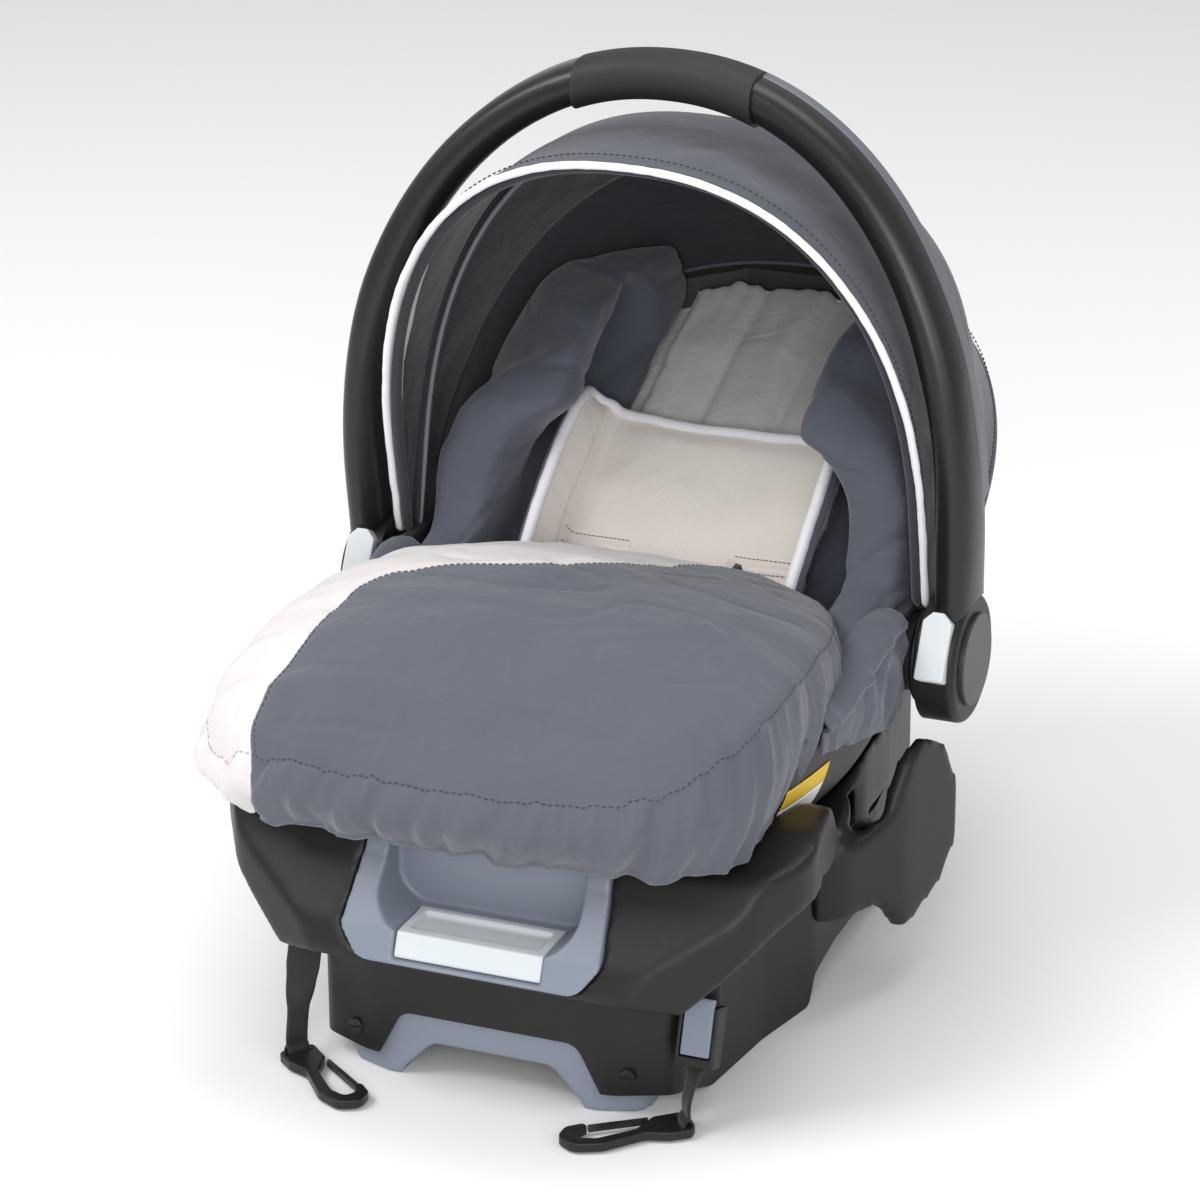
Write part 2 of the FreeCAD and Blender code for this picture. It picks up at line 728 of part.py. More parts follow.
pad_rise = 132.0            # how far the bolsters stand above the rim beside the child's shoulders
pad_ceiling = prism_yz([
    (-shell_front - 60, rim_front, 0), (-130, rim_front, 60), (-60, rim_side, 40), (-6, rim_side + 6, 12),
    (22, rim_side + 0.62 * pad_rise, 30), (74, rim_side + pad_rise, 60), (200, rim_side + pad_rise + 8, 60),
    (shell_rear + 80, rim_side + pad_rise, 0),
    (shell_rear + 80, 900, 0), (-shell_front - 60, 900, 0)], -300, 300)
pad_room = pad_outer.cut(pad_ceiling).cut(above_rim.cut(canopy_inside()))
pad_layer = pad_room.common(under_line(0.0)).cut(under_line(pad_thick))


def make_foam():
    top = pad_thick + pad_clear
    return pad_room.common(under_line(top)).cut(under_line(top + foam_thick))


def make_panel():
    return pad_layer.common(box(-panel_half, panel_half, -400, 400, 0, 600))


def make_bolster():
    # padded side of the bucket, from the head end down to beside the knees
    half = pad_room.common(box(panel_half + pad_clear, 250, -350, 400, 0, 600))
    lower = half.common(under_line(0.0)).cut(under_line(pad_thick))
    upper = half.cut(bucket(-shell_wall - bolster_thick)).cut(under_line(0.0))
    return upper.fuse(lower)


def under_top(y):
    # height of the padded surface, between the corners of its side view
    for (y0, z0), (y1, z1) in zip(seat_line, seat_line[1:]):
        if y0 <= y <= y1:
            return z0 + (z1 - z0) * (y - y0) / (y1 - y0) + insert_thick
    return seat_line[-1][1]


def make_insert():
    cover = under_line(-insert_thick - pad_clear).cut(under_line(-pad_clear))
    back = cover.common(box(-insert_half, insert_half, -28, 128, 0, 600))
    ramp = prism_yz([(4, 0, 0), (4, 600, 0), (86, 600, 0), (122, under_top(122), 20), (122, 0, 0)],
                    insert_half - insert_wing_thick, insert_half)
    tall = under_line(-insert_wing).cut(under_line(-insert_thick - pad_clear)).common(ramp)
    whole = joined([back, tall, mirrored(tall)])
    for x in (-59, 59):
        whole = whole.cut(box(x - 21, x + 21, 30, 37, 150, 400))
    return whole


# stations along the boot: y, half width, top
boot_stations = [
    (-boot_front, 118, 224), (-boot_front + 8, 148, 244), (-284, 176, 266), (-245, boot_half - 2, 284),
    (-200, boot_half, 291), (-150, boot_half - 3, 290), (-105, 174, 283), (-62, 158, 270), (-26, 134, 256),
    (-6, 108, 247)]
boot_middle = 205.0


def boot_dome(grow):
    wires = []
    for i, (y, half, top) in enumerate(boot_stations):
        at = y - grow if i == 0 else y + (4 if i == len(boot_stations) - 1 and grow else 0)
        high = top - boot_middle + grow
        centre = Vector(0, at, boot_middle)
        wires.append(ring(centre, Vector(1, 0, 0), Vector(0, 0, 1), half + grow, high, 2.7))
    return loft(wires)


def make_boot():
    hem = [(-400, boot_hem, 0), (-255, boot_hem, 40), (-175, 194, 40), (-60, 206, 0), (60, 206, 0),
           (60, -50, 0), (-400, -50, 0)]
    whole = boot_dome(0.0).cut(boot_dome(-boot_thick)).cut(prism_yz(hem, -300, 300))
    over_rim = [(-118, 190, 0), (-118, 228, 8), (-92, 251, 14), (60, 251, 0), (60, 190, 0)]
    whole = whole.cut(prism_yz(over_rim, 124, 300)).cut(prism_yz(over_rim, -300, -124))
    return whole.cut(bucket(4.4).cut(above_rim))


save("seat_foam", make_foam())
save("seat_pad_panel", make_panel())
save_pair("seat_pad_bolster", make_bolster())
save("infant_insert", make_insert())
save("boot_cover", make_boot())

# harness ---------------------------------------------------------------------


def webbing(path, x0, x1, thick=webbing_thick):
    # flat strap whose middle follows path, a list of (y, z), between x0 and x1
    sides = ([], [])
    for i, (y, z) in enumerate(path):
        before, after = path[max(i - 1, 0)], path[min(i + 1, len(path) - 1)]
        along = Vector(after[0] - before[0], after[1] - before[1], 0).normalize()
        for side, sign in zip(sides, (1, -1)):
            rounded = 6 if 0 < i < len(path) - 1 else 0
            side.append((y - sign * along.y * thick / 2, z + sign * along.x * thick / 2, rounded))
    return prism_yz(sides[0] + sides[1][::-1], x0, x1)


buckle_y, buckle_z = -92.0, 172.0
tongue_gap = 0.4


def make_buckle():
    body = prism_xz(both_sides([(20, buckle_z, 5), (24, buckle_z + 30, 8), (17, buckle_z + 48, 6)]),
                    buckle_y - 8, buckle_y + 8)
    well = box(-10.5, 10.5, buckle_y - 20, buckle_y - 2, buckle_z + 12, buckle_z + 32)
    mouth = box(-15, 15, buckle_y - 2, buckle_y + 2, buckle_z + 30, buckle_z + 60)
    return body.cut(well).cut(mouth)


def make_buckle_button():
    low, high = buckle_z + 12.5, buckle_z + 31.5
    return prism_xz([(-10, low, 2), (10, low, 2), (10, high, 2), (-10, high, 2)], buckle_y - 9.5, buckle_y - 5.5)


def make_tongue():
    blade = box(1, 14.6, buckle_y - 1.6, buckle_y + 1.6, buckle_z + 30.4, buckle_z + 50)
    plate = box(1, 40, buckle_y - 1.6, buckle_y + 1.6, buckle_z + 50, buckle_z + 64)
    hole = box(6, 37, buckle_y - 3, buckle_y + 3, buckle_z + 55.2, buckle_z + 58.8)
    return joined([blade, plate]).cut(hole)


def make_shoulder():
    wide = webbing_wide * 0.66
    path = [(-3, 205), (-8, 222), (buckle_y + 8, buckle_z + 57), (buckle_y - 1, buckle_z + 57)]
    return webbing(path, 10.5, 10.5 + wide)


def make_crotch():
    wide = webbing_wide / 2 - 3
    return webbing([(buckle_y - 2, 144.9), (buckle_y, buckle_z)], -wide, wide)


adjuster_y, adjuster_z = -196.0, 166.0


def make_adjuster():
    body = box(-18, 18, adjuster_y - 14, adjuster_y + 14, adjuster_z, adjuster_z + 9)
    well = box(-13, 13, adjuster_y - 10, adjuster_y + 15, adjuster_z + 3, adjuster_z + 10)
    return body.cut(well).cut(under_line(-0.3))


def make_adjuster_lever():
    return box(-12.4, 12.4, adjuster_y - 9, adjuster_y + 12, adjuster_z + 5.6, adjuster_z + 11)


def make_tail():
    path = [(-15.4, 5), (-30, 20), (-50, 34)]
    return webbing([(adjuster_y + y, adjuster_z + z) for y, z in path], -12, 12)


save("buckle", make_buckle())
save("buckle_button", make_buckle_button())
save_pair("buckle_tongue", make_tongue())
save("crotch_strap", make_crotch())
save_pair("harness_strap", make_shoulder())
save("harness_adjuster", make_adjuster())
save("harness_adjuster_lever", make_adjuster_lever())
save("harness_tail", make_tail())

# release handle at the head end ------------------------------------------------

release_half = 38.0
release_clear = 0.6
release_travel = 9.0
release_low, release_high = 268.0, 306.0


def make_release_housing():
    corners = [(release_half + 12, release_low - 14, 14), (release_half + 12, release_high + 16, 14)]
    body = prism_xz(both_sides(corners), shell_rear - 40, shell_rear + 11)
    half = release_half + release_clear
    room = box(-half, half, shell_rear - 2, shell_rear + 40, release_low - 2, release_high + release_travel + 1)
    return body.cut(room).cut(bucket(0.1)).cut(above_rim)


def make_release_handle():
    side = [(shell_rear + 3, release_low - 1.5, 2), (shell_rear + 12, release_low - 1.5, 3),
            (shell_rear + 14, release_low + 12, 4), (shell_rear + 12, release_high, 3),
            (shell_rear + 3, release_high, 2)]
    return prism_yz(side, -release_half, release_half).cut(bucket(3.0))


save("release_housing", make_release_housing())
save("release_handle", make_release_handle())

# lower anchor straps -----------------------------------------------------------

hook_thick = 6.0
hook_turns = {"right": -142.0, "left": -38.0}


def hook_shape():
    body = [(0, -12, 4), (16, -12, 4), (30, -7, 8), (58, -13, 14), (76, -9, 10), (82, 4, 8), (74, 14, 6),
            (62, 15, 3), (61, 10, 2), (70, 7, 4), (71, -1, 5), (60, -5, 8), (34, -1, 8), (20, 11, 4), (0, 12, 4)]
    eye = prism_xy([(4.5, -9, 1), (8, -9, 1), (8, 9, 1), (4.5, 9, 1)], -1, hook_thick + 1)
    return prism_xy(body, 0, hook_thick).cut(eye)


def gate_shape():
    bar = [(22, 12.4, 0.8), (24, 9.6, 0.8), (60.4, 10.4, 0.5), (60.4, 13.6, 0.5)]
    return prism_xy(bar, 1.2, hook_thick - 1.2)


def placed(shape, eye, turn, flip):
    # the left hook is the right one turned over
    shape = shape.copy()
    if flip:
        shape = shape.mirror(Vector(0, 0, 0), Vector(0, 1, 0))
    shape.rotate(Vector(0, 0, 0), Vector(0, 0, 1), turn)
    shape.translate(eye)
    return shape


def strap_top_of(eye):
    return (eye.y + 20.0, 76.0)


def make_anchor_strap(eye):
    half = anchor_web / 2 - 4
    top = hook_thick + hook_rest
    path = [(eye.y + 20.0, recess_top - pad_clear), strap_top_of(eye), (eye.y + 7.8, 40), (eye.y + 2, top + 4),
            (eye.y + 4, top + 1.3)]
    return webbing(path, eye.x - half, eye.x + half)


strap_top, strap_low = (-262.0, 76.0), (-274.2, 40.0)


def along_strap(start, end, off, thick, half, middle):
    # block that lies along the right strap from share start to share end of its straight run
    run = Vector(strap_low[0] - strap_top[0], strap_low[1] - strap_top[1], 0)
    out = Vector(run.y, -run.x, 0).normalize() * off
    path = [(strap_top[0] + run.x * s + out.x, strap_top[1] + run.y * s + out.y) for s in (start, end)]
    return webbing(path, middle - half, middle + half, thick)


def make_adjuster_body():
    body = along_strap(0.0, 1.0, 1.0, 15.0, 12.5, eye_right.x + 1.5)
    slit = along_strap(-0.2, 1.2, 0.0, webbing_thick + 0.6, anchor_web / 2 - 3.5, eye_right.x)
    well = along_strap(-0.2, 0.84, 6.2, 5.0, 10.0, eye_right.x + 1.5)
    return body.cut(slit).cut(well)


def make_adjuster_tab():
    return along_strap(-0.12, 0.82, 6.6, 3.6, 9.4, eye_right.x + 1.5)


save("anchor_adjuster_body", make_adjuster_body())
save("anchor_adjuster_tab", make_adjuster_tab())

for side, eye, flip in (("right", eye_right, True), ("left", eye_left, False)):
    save("anchor_hook_" + side, placed(hook_shape(), eye, hook_turns[side], flip))
    save("anchor_gate_" + side, placed(gate_shape(), eye, hook_turns[side], flip))
    save("anchor_strap_" + side, make_anchor_strap(eye))
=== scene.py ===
import json
import math
import bpy
import bmesh
import numpy as np
from mathutils.bvhtree import BVHTree
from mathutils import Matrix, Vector, noise


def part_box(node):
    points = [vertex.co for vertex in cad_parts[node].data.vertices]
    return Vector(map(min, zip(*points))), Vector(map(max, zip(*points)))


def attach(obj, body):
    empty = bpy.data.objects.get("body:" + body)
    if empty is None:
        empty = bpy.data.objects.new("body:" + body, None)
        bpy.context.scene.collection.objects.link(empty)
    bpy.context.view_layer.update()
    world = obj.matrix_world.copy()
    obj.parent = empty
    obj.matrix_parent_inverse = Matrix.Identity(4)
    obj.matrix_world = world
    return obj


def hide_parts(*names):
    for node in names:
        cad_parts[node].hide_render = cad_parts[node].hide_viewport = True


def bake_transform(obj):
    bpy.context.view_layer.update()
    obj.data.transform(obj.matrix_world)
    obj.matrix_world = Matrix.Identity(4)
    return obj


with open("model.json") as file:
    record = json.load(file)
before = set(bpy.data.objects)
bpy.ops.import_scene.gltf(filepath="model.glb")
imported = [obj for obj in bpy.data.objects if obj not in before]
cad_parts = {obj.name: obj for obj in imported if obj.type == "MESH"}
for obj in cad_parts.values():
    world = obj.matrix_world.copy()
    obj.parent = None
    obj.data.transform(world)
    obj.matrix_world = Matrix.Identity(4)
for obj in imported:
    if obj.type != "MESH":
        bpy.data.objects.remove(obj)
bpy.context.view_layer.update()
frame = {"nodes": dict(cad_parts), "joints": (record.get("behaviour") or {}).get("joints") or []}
mm = 0.001
joints = {j["name"]: j for j in frame["joints"]}
hub = Vector(joints["handle_swing"]["pos_m"])  # both hubs turn about the line along X through this point
print("stage: frame loaded,", len(frame["nodes"]), "nodes")


def place(x, y, z):
    # millimetres, y measured from the hub line and z from the floor
    return Vector((x * mm, y * mm + hub.y, z * mm))


def newObject(name, data):
    made = bpy.data.objects.new(name, data)
    bpy.context.scene.collection.objects.link(made)
    return made


def groupOf(name, outputs, **inputs):
    # a shader group that takes a vector and the given numbers, and gives numbers
    tree = bpy.data.node_groups.new(name, "ShaderNodeTree")
    tree.interface.new_socket("Vector", in_out="INPUT", socket_type="NodeSocketVector")
    for label, value in inputs.items():
        tree.interface.new_socket(label, in_out="INPUT", socket_type="NodeSocketFloat").default_value = value
    for label in outputs:
        tree.interface.new_socket(label, in_out="OUTPUT", socket_type="NodeSocketFloat")
    return tree, tree.nodes.new("NodeGroupInput"), tree.nodes.new("NodeGroupOutput")


def feed(tree, socket, value):
    # a number or a colour goes in as it is; another node's output is linked
    if isinstance(value, (int, float)):
        socket.default_value = value
    elif isinstance(value, tuple):
        socket.default_value = (*value, 1.0)
    elif value is not None:
        tree.links.new(value, socket)


def mathNode(tree, operation, a, b=None):
    node = tree.nodes.new("ShaderNodeMath")
    node.operation = operation
    feed(tree, node.inputs[0], a)
    feed(tree, node.inputs[1], b)
    return node.outputs[0]


def textureNode(tree, kind, vector, scale, direction=None, **extra):
    node = tree.nodes.new("ShaderNodeTex" + kind)
    tree.links.new(vector, node.inputs["Vector"])
    feed(tree, node.inputs["Scale"], scale)
    if direction:
        node.bands_direction = direction
    for label, value in extra.items():
        node.inputs[label].default_value = value
    return node.outputs["Distance" if kind == "Voronoi" else "Fac"]


def mixColour(tree, factor, a, b):
    node = tree.nodes.new("ShaderNodeMix")
    node.data_type = "RGBA"
    for label, value in (("Factor", factor), ("A", a), ("B", b)):
        feed(tree, node.inputs[label], value)
    return node.outputs["Result"]


def rampNode(tree, value, low, high):
    node = tree.nodes.new("ShaderNodeMapRange")
    tree.links.new(value, node.inputs["Value"])
    node.inputs["From Min"].default_value = low
    node.inputs["From Max"].default_value = high
    return node.outputs["Result"]


def makeWeave():
    # crossed threads and fibre fuzz: a height, and a tone that varies from place to place
    tree, start, end = groupOf("wovenThreads", ("Height", "Tone"), Threads=300.0)
    vector, threads = start.outputs["Vector"], start.outputs["Threads"]
    warp = textureNode(tree, "Wave", vector, threads, "X", Distortion=0.4)
    weft = textureNode(tree, "Wave", vector, threads, "Z", Distortion=0.4)
    fuzz = textureNode(tree, "Noise", vector, 900.0, Detail=3.0)
    patch = textureNode(tree, "Noise", vector, 22.0, Detail=4.0)
    crossed = mathNode(tree, "MULTIPLY", warp, weft)
    height = mathNode(tree, "ADD", crossed, mathNode(tree, "MULTIPLY", fuzz, 0.6))
    tone = mathNode(tree, "ADD", mathNode(tree, "MULTIPLY", patch, 0.7),
                    mathNode(tree, "MULTIPLY", crossed, 0.3))
    tree.links.new(height, end.inputs["Height"])
    tree.links.new(tone, end.inputs["Tone"])
    return tree


def makeCreases():
    # soft creases of filled cloth: long ridges in patches
    tree, start, end = groupOf("clothCreases", ("Height",), Size=30.0)
    bend = textureNode(tree, "Noise", start.outputs["Vector"], start.outputs["Size"], Detail=3.0,
                       Distortion=1.2, Roughness=0.45)
    ridge = mathNode(tree, "ABSOLUTE", mathNode(tree, "SUBTRACT", bend, 0.5))
    tree.links.new(mathNode(tree, "MULTIPLY", ridge, -2.0), end.inputs["Height"])
    return tree


def makeGrain():
    # spark-eroded grain of moulded plastic, with broad changes of gloss
    tree, start, end = groupOf("mouldGrain", ("Height", "Gloss"), Grain=1400.0)
    vector = start.outputs["Vector"]
    cells = textureNode(tree, "Voronoi", vector, start.outputs["Grain"])
    fine = textureNode(tree, "Noise", vector, 2600.0, Detail=2.0)
    broad = textureNode(tree, "Noise", vector, 14.0, Detail=5.0)
    height = mathNode(tree, "ADD", cells, mathNode(tree, "MULTIPLY", fine, 0.5))
    tree.links.new(height, end.inputs["Height"])
    tree.links.new(broad, end.inputs["Gloss"])
    return tree


def makeWear():
    # convex edges rubbed lighter, broken up so that no edge is worn evenly
    tree, start, end = groupOf("edgeWear", ("Mask",))
    geometry = tree.nodes.new("ShaderNodeNewGeometry")
    edge = rampNode(tree, geometry.outputs["Pointiness"], 0.53, 0.62)
    patch = textureNode(tree, "Noise", start.outputs["Vector"], 55.0, Detail=5.0)
    tree.links.new(mathNode(tree, "MULTIPLY", edge, rampNode(tree, patch, 0.4, 0.7)), end.inputs["Mask"])
    return tree


def makeDust():
    # dust that settles on what faces up
    tree, start, end = groupOf("settledDust", ("Mask",))
    geometry = tree.nodes.new("ShaderNodeNewGeometry")
    split = tree.nodes.new("ShaderNodeSeparateXYZ")
    tree.links.new(geometry.outputs["Normal"], split.inputs[0])
    upward = rampNode(tree, split.outputs["Z"], 0.4, 1.0)
    patch = textureNode(tree, "Noise", start.outputs["Vector"], 38.0, Detail=6.0)
    tree.links.new(mathNode(tree, "MULTIPLY", upward, rampNode(tree, patch, 0.35, 0.8)), end.inputs["Mask"])
    return tree


weaveGroup, creaseGroup, grainGroup = makeWeave(), makeCreases(), makeGrain()
wearGroup, dustGroup = makeWear(), makeDust()


def newMaterial(name):
    material = bpy.data.materials.new(name)
    material.use_nodes = True
    tree = material.node_tree
    vector = tree.nodes.new("ShaderNodeTexCoord").outputs["Object"]
    return material, tree, tree.nodes["Principled BSDF"], vector


def useGroup(tree, group, vector, **values):
    node = tree.nodes.new("ShaderNodeGroup")
    node.node_tree = group
    tree.links.new(vector, node.inputs["Vector"])
    for label, value in values.items():
        node.inputs[label].default_value = value
    return node.outputs


def bumpInto(tree, shader, layers):
    # layers are (height, depth in metres), laid over each other
    last = None
    for height, depth in layers:
        bump = tree.nodes.new("ShaderNodeBump")
        bump.inputs["Strength"].default_value = 1.0
        bump.inputs["Distance"].default_value = depth
        tree.links.new(height, bump.inputs["Height"])
        if last:
            tree.links.new(last, bump.inputs["Normal"])
        last = bump.outputs["Normal"]
    tree.links.new(last, shader.inputs["Normal"])


def cloth(name, light, dark, threads=330.0, rough=0.82, sheen=0.25, crease=0.0012, second=None):
    # woven cloth; second is (light, dark, attribute): the other colour where that attribute is above zero
    material, tree, shader, vector = newMaterial(name)
    weave = useGroup(tree, weaveGroup, vector, Threads=threads)
    creases = useGroup(tree, creaseGroup, vector, Size=26.0)
    colour = mixColour(tree, weave["Tone"], dark, light)
    if second:
        otherLight, otherDark, attribute = second
        reader = tree.nodes.new("ShaderNodeAttribute")
        reader.attribute_name = attribute
        side = rampNode(tree, reader.outputs["Fac"], -0.0004, 0.0004)
        colour = mixColour(tree, side, colour, mixColour(tree, weave["Tone"], otherDark, otherLight))
    tree.links.new(colour, shader.inputs["Base Color"])
    shader.inputs["Roughness"].default_value = rough
    shader.inputs["Sheen Weight"].default_value = sheen
    shader.inputs["Sheen Roughness"].default_value = 0.45
    shader.inputs["Specular IOR Level"].default_value = 0.3
    bumpInto(tree, shader, [(creases["Height"], crease), (weave["Height"], 0.00012)])
    return material


def plastic(name, colour, worn, rough=0.45, spread=0.12, grain=1400.0, depth=0.00006, level=0.45, dust=0.01):
    material, tree, shader, vector = newMaterial(name)
    surface = useGroup(tree, grainGroup, vector, Grain=grain)
    wear = useGroup(tree, wearGroup, vector)["Mask"]
    dusty = mathNode(tree, "MULTIPLY", useGroup(tree, dustGroup, vector)["Mask"], dust)
    base = mixColour(tree, surface["Gloss"], tuple(c * 0.97 for c in colour), tuple(c * 1.03 for c in colour))
    base = mixColour(tree, mathNode(tree, "MULTIPLY", wear, 0.6), base, worn)
    tree.links.new(mixColour(tree, dusty, base, (0.5, 0.49, 0.47)), shader.inputs["Base Color"])
    gloss = mathNode(tree, "MULTIPLY", surface["Gloss"], spread)
    tree.links.new(mathNode(tree, "ADD", gloss, rough - spread / 2), shader.inputs["Roughness"])
    shader.inputs["Specular IOR Level"].default_value = level
    bumpInto(tree, shader, [(surface["Height"], depth)])
    return material


def metal(name, colour, rough=0.3, metallic=1.0):
    material, tree, shader, vector = newMaterial(name)
    surface = useGroup(tree, grainGroup, vector, Grain=2200.0)
    wear = useGroup(tree, wearGroup, vector)["Mask"]
    tree.links.new(mixColour(tree, wear, colour, tuple(min(1.0, c * 1.8 + 0.05) for c in colour)),
                   shader.inputs["Base Color"])
    tree.links.new(mathNode(tree, "ADD", mathNode(tree, "MULTIPLY", surface["Gloss"], 0.2), rough - 0.1),
                   shader.inputs["Roughness"])
    shader.inputs["Metallic"].default_value = metallic
    bumpInto(tree, shader, [(surface["Height"], 0.00004)])
    return material


greyCloth = ((0.105, 0.115, 0.145), (0.082, 0.090, 0.118))
paleCloth = ((0.73, 0.695, 0.69), (0.64, 0.605, 0.60))
looks = {}


def addLook(make, name, *values, **extra):
    looks[name] = make(name, *values, **extra)


addLook(plastic, "blackPlastic", (0.0095, 0.0088, 0.0085), (0.0125, 0.0118, 0.0115), 0.44, spread=0.05,
        level=0.36, dust=0.003)
addLook(plastic, "handlePlastic", (0.0085, 0.0082, 0.0085), (0.04, 0.04, 0.04), 0.33, depth=0.00003,
        dust=0.003)
addLook(plastic, "greyPlastic", (0.195, 0.222, 0.275), (0.36, 0.39, 0.44), 0.40, dust=0.02)
addLook(plastic, "ribPlastic", (0.13, 0.14, 0.16), (0.3, 0.31, 0.33), 0.4)
addLook(plastic, "shellPlastic", (0.030, 0.029, 0.030), (0.1, 0.1, 0.1), 0.5, dust=0.01)
addLook(plastic, "palePlastic", (0.58, 0.62, 0.645), (0.8, 0.82, 0.83), 0.36, dust=0.0)
addLook(plastic, "badgePlastic", (0.030, 0.029, 0.029), (0.12, 0.12, 0.12), 0.36)
addLook(plastic, "redPlastic", (0.45, 0.03, 0.025), (0.6, 0.2, 0.18), 0.4)
addLook(plastic, "softGrip", (0.013, 0.0125, 0.013), (0.04, 0.04, 0.04), 0.58, dust=0.004, grain=900.0,
        depth=0.00012)
addLook(plastic, "foamBead", (0.75, 0.75, 0.73), (0.85, 0.85, 0.84), 0.8, grain=260.0, depth=0.0006)
addLook(metal, "brightSteel", (0.56, 0.56, 0.58))
addLook(metal, "blackSteel", (0.02, 0.02, 0.021), 0.38, 0.4)
addLook(cloth, "darkCloth", *greyCloth)
addLook(cloth, "bootCloth", (0.108, 0.117, 0.143), (0.083, 0.091, 0.114), second=(*paleCloth, "paleSide"))
addLook(cloth, "canopyCloth", (0.082, 0.088, 0.112), (0.062, 0.067, 0.087), crease=0.0006,
        second=(*paleCloth, "paleSide"))
addLook(cloth, "linerCloth", (0.040, 0.040, 0.052), (0.029, 0.029, 0.039), crease=0.0008)
addLook(cloth, "canopyLiner", (0.040, 0.040, 0.052), (0.029, 0.029, 0.039), crease=0.0008,
        second=(*paleCloth, "facing"))
addLook(cloth, "paleCloth", *paleCloth, crease=0.0009)
addLook(plastic, "labelPaper", (0.80, 0.80, 0.78), (0.8, 0.8, 0.78), 0.5, dust=0.0)
addLook(plastic, "labelYellow", (0.80, 0.53, 0.03), (0.8, 0.6, 0.1), 0.5, dust=0.0)
addLook(cloth, "insertCloth", (0.80, 0.745, 0.70), (0.71, 0.655, 0.61), sheen=0.4, crease=0.0007)
addLook(cloth, "pipingCloth", (0.86, 0.86, 0.90), (0.76, 0.76, 0.80), threads=500.0, crease=0.0002)
addLook(cloth, "webbing", (0.020, 0.020, 0.022), (0.010, 0.010, 0.011), threads=180.0, rough=0.6,
        crease=0.0001)
addLook(cloth, "greyPipingCloth", (0.24, 0.25, 0.28), (0.18, 0.19, 0.22), threads=500.0, crease=0.0002)
addLook(cloth, "stitchPale", (0.42, 0.40, 0.39), (0.34, 0.32, 0.31), crease=0.0)
addLook(cloth, "stitchBrown", (0.20, 0.17, 0.15), (0.15, 0.13, 0.11), crease=0.0)
addLook(cloth, "stitchDark", (0.045, 0.05, 0.066), (0.03, 0.033, 0.044), crease=0.0)
print("stage: materials made,", len(looks))

nodeLooks = {
    "blackPlastic": ("base_upper", "base_lower", "hub_housing_left", "hub_housing_right", "release_housing",
                     "base_catches", "anchor_adjuster_body", "harness_adjuster", "buckle", "canopy_front_bow",
                     "canopy_middle_bow"),
    "handlePlastic": ("handle_frame",),
    "greyPlastic": ("recline_bezel", "recline_foot", "release_handle", "anchor_adjuster_tab"),
    "ribPlastic": ("handle_rear_rib",),
    "shellPlastic": ("carrier_shell",),
    "palePlastic": ("recline_lever", "handle_button_left", "handle_button_right"),
    "badgePlastic": ("hub_badge_left", "hub_badge_right"),
    "redPlastic": ("buckle_button", "harness_adjuster_lever"),
    "softGrip": ("handle_grip",),
    "foamBead": ("seat_foam",),
    "brightSteel": ("carrier_latch_bar", "handle_pivot_left", "handle_pivot_right", "recline_rack",
                    "buckle_tongue_left", "buckle_tongue_right"),
    "blackSteel": ("anchor_hook_left", "anchor_hook_right", "anchor_gate_left", "anchor_gate_right",
                   "base_screws"),
    "webbing": ("crotch_strap", "harness_strap_left", "harness_strap_right", "harness_tail",
                "anchor_strap_left", "anchor_strap_right"),
}
for look, names in nodeLooks.items():
    for name in names:
        mesh = frame["nodes"][name].data
        mesh.materials.clear()
        mesh.materials.append(looks[look])


def areaLight(name, position, target, size, power):
    data = bpy.data.lights.new(name, "AREA")
    data.shape = "RECTANGLE"
    data.size, data.size_y = size
    data.energy = power
    lamp = newObject(name, data)
    lamp.location = position
    lamp.rotation_mode = "QUATERNION"
    lamp.rotation_quaternion = (Vector(target) - Vector(position)).to_track_quat("-Z", "Y")


def makeStage():
    settings = {"floorHalf": 8.0, "floorColour": (0.88, 0.88, 0.88, 1), "target": (0.0, 0.0, 0.25),
                "worldStrength": 0.55}
    mesh = bpy.data.meshes.new("floor")
    half = settings["floorHalf"]
    corners = [(-half, -half, 0), (half, -half, 0), (half, half, 0), (-half, half, 0)]
    mesh.from_pydata(corners, [], [(0, 1, 2, 3)])
    floor = newObject("floor", mesh)
    floor.location.z = -0.0006
    material, _, shader, _ = newMaterial("paperFloor")
    shader.inputs["Base Color"].default_value = settings["floorColour"]
    shader.inputs["Roughness"].default_value = 0.9
    mesh.materials.append(material)
    world = bpy.data.worlds.new("studio")
    world.use_nodes = True
    world.node_tree.nodes["Background"].inputs[0].default_value = (1.0, 1.0, 1.0, 1)
    world.node_tree.nodes["Background"].inputs[1].default_value = settings["worldStrength"]
    bpy.context.scene.world = world
    areaLight("keyLight", (-1.6, -1.4, 2.6), settings["target"], (1.8, 1.4), 52)
    areaLight("fillLight", (2.4, -2.0, 1.5), settings["target"], (2.2, 1.6), 20)
    areaLight("frontLight", (0.9, -2.9, 1.25), settings["target"], (1.2, 1.2), 34)
    areaLight("topLight", (0.2, 0.6, 2.9), settings["target"], (2.0, 1.6), 30)


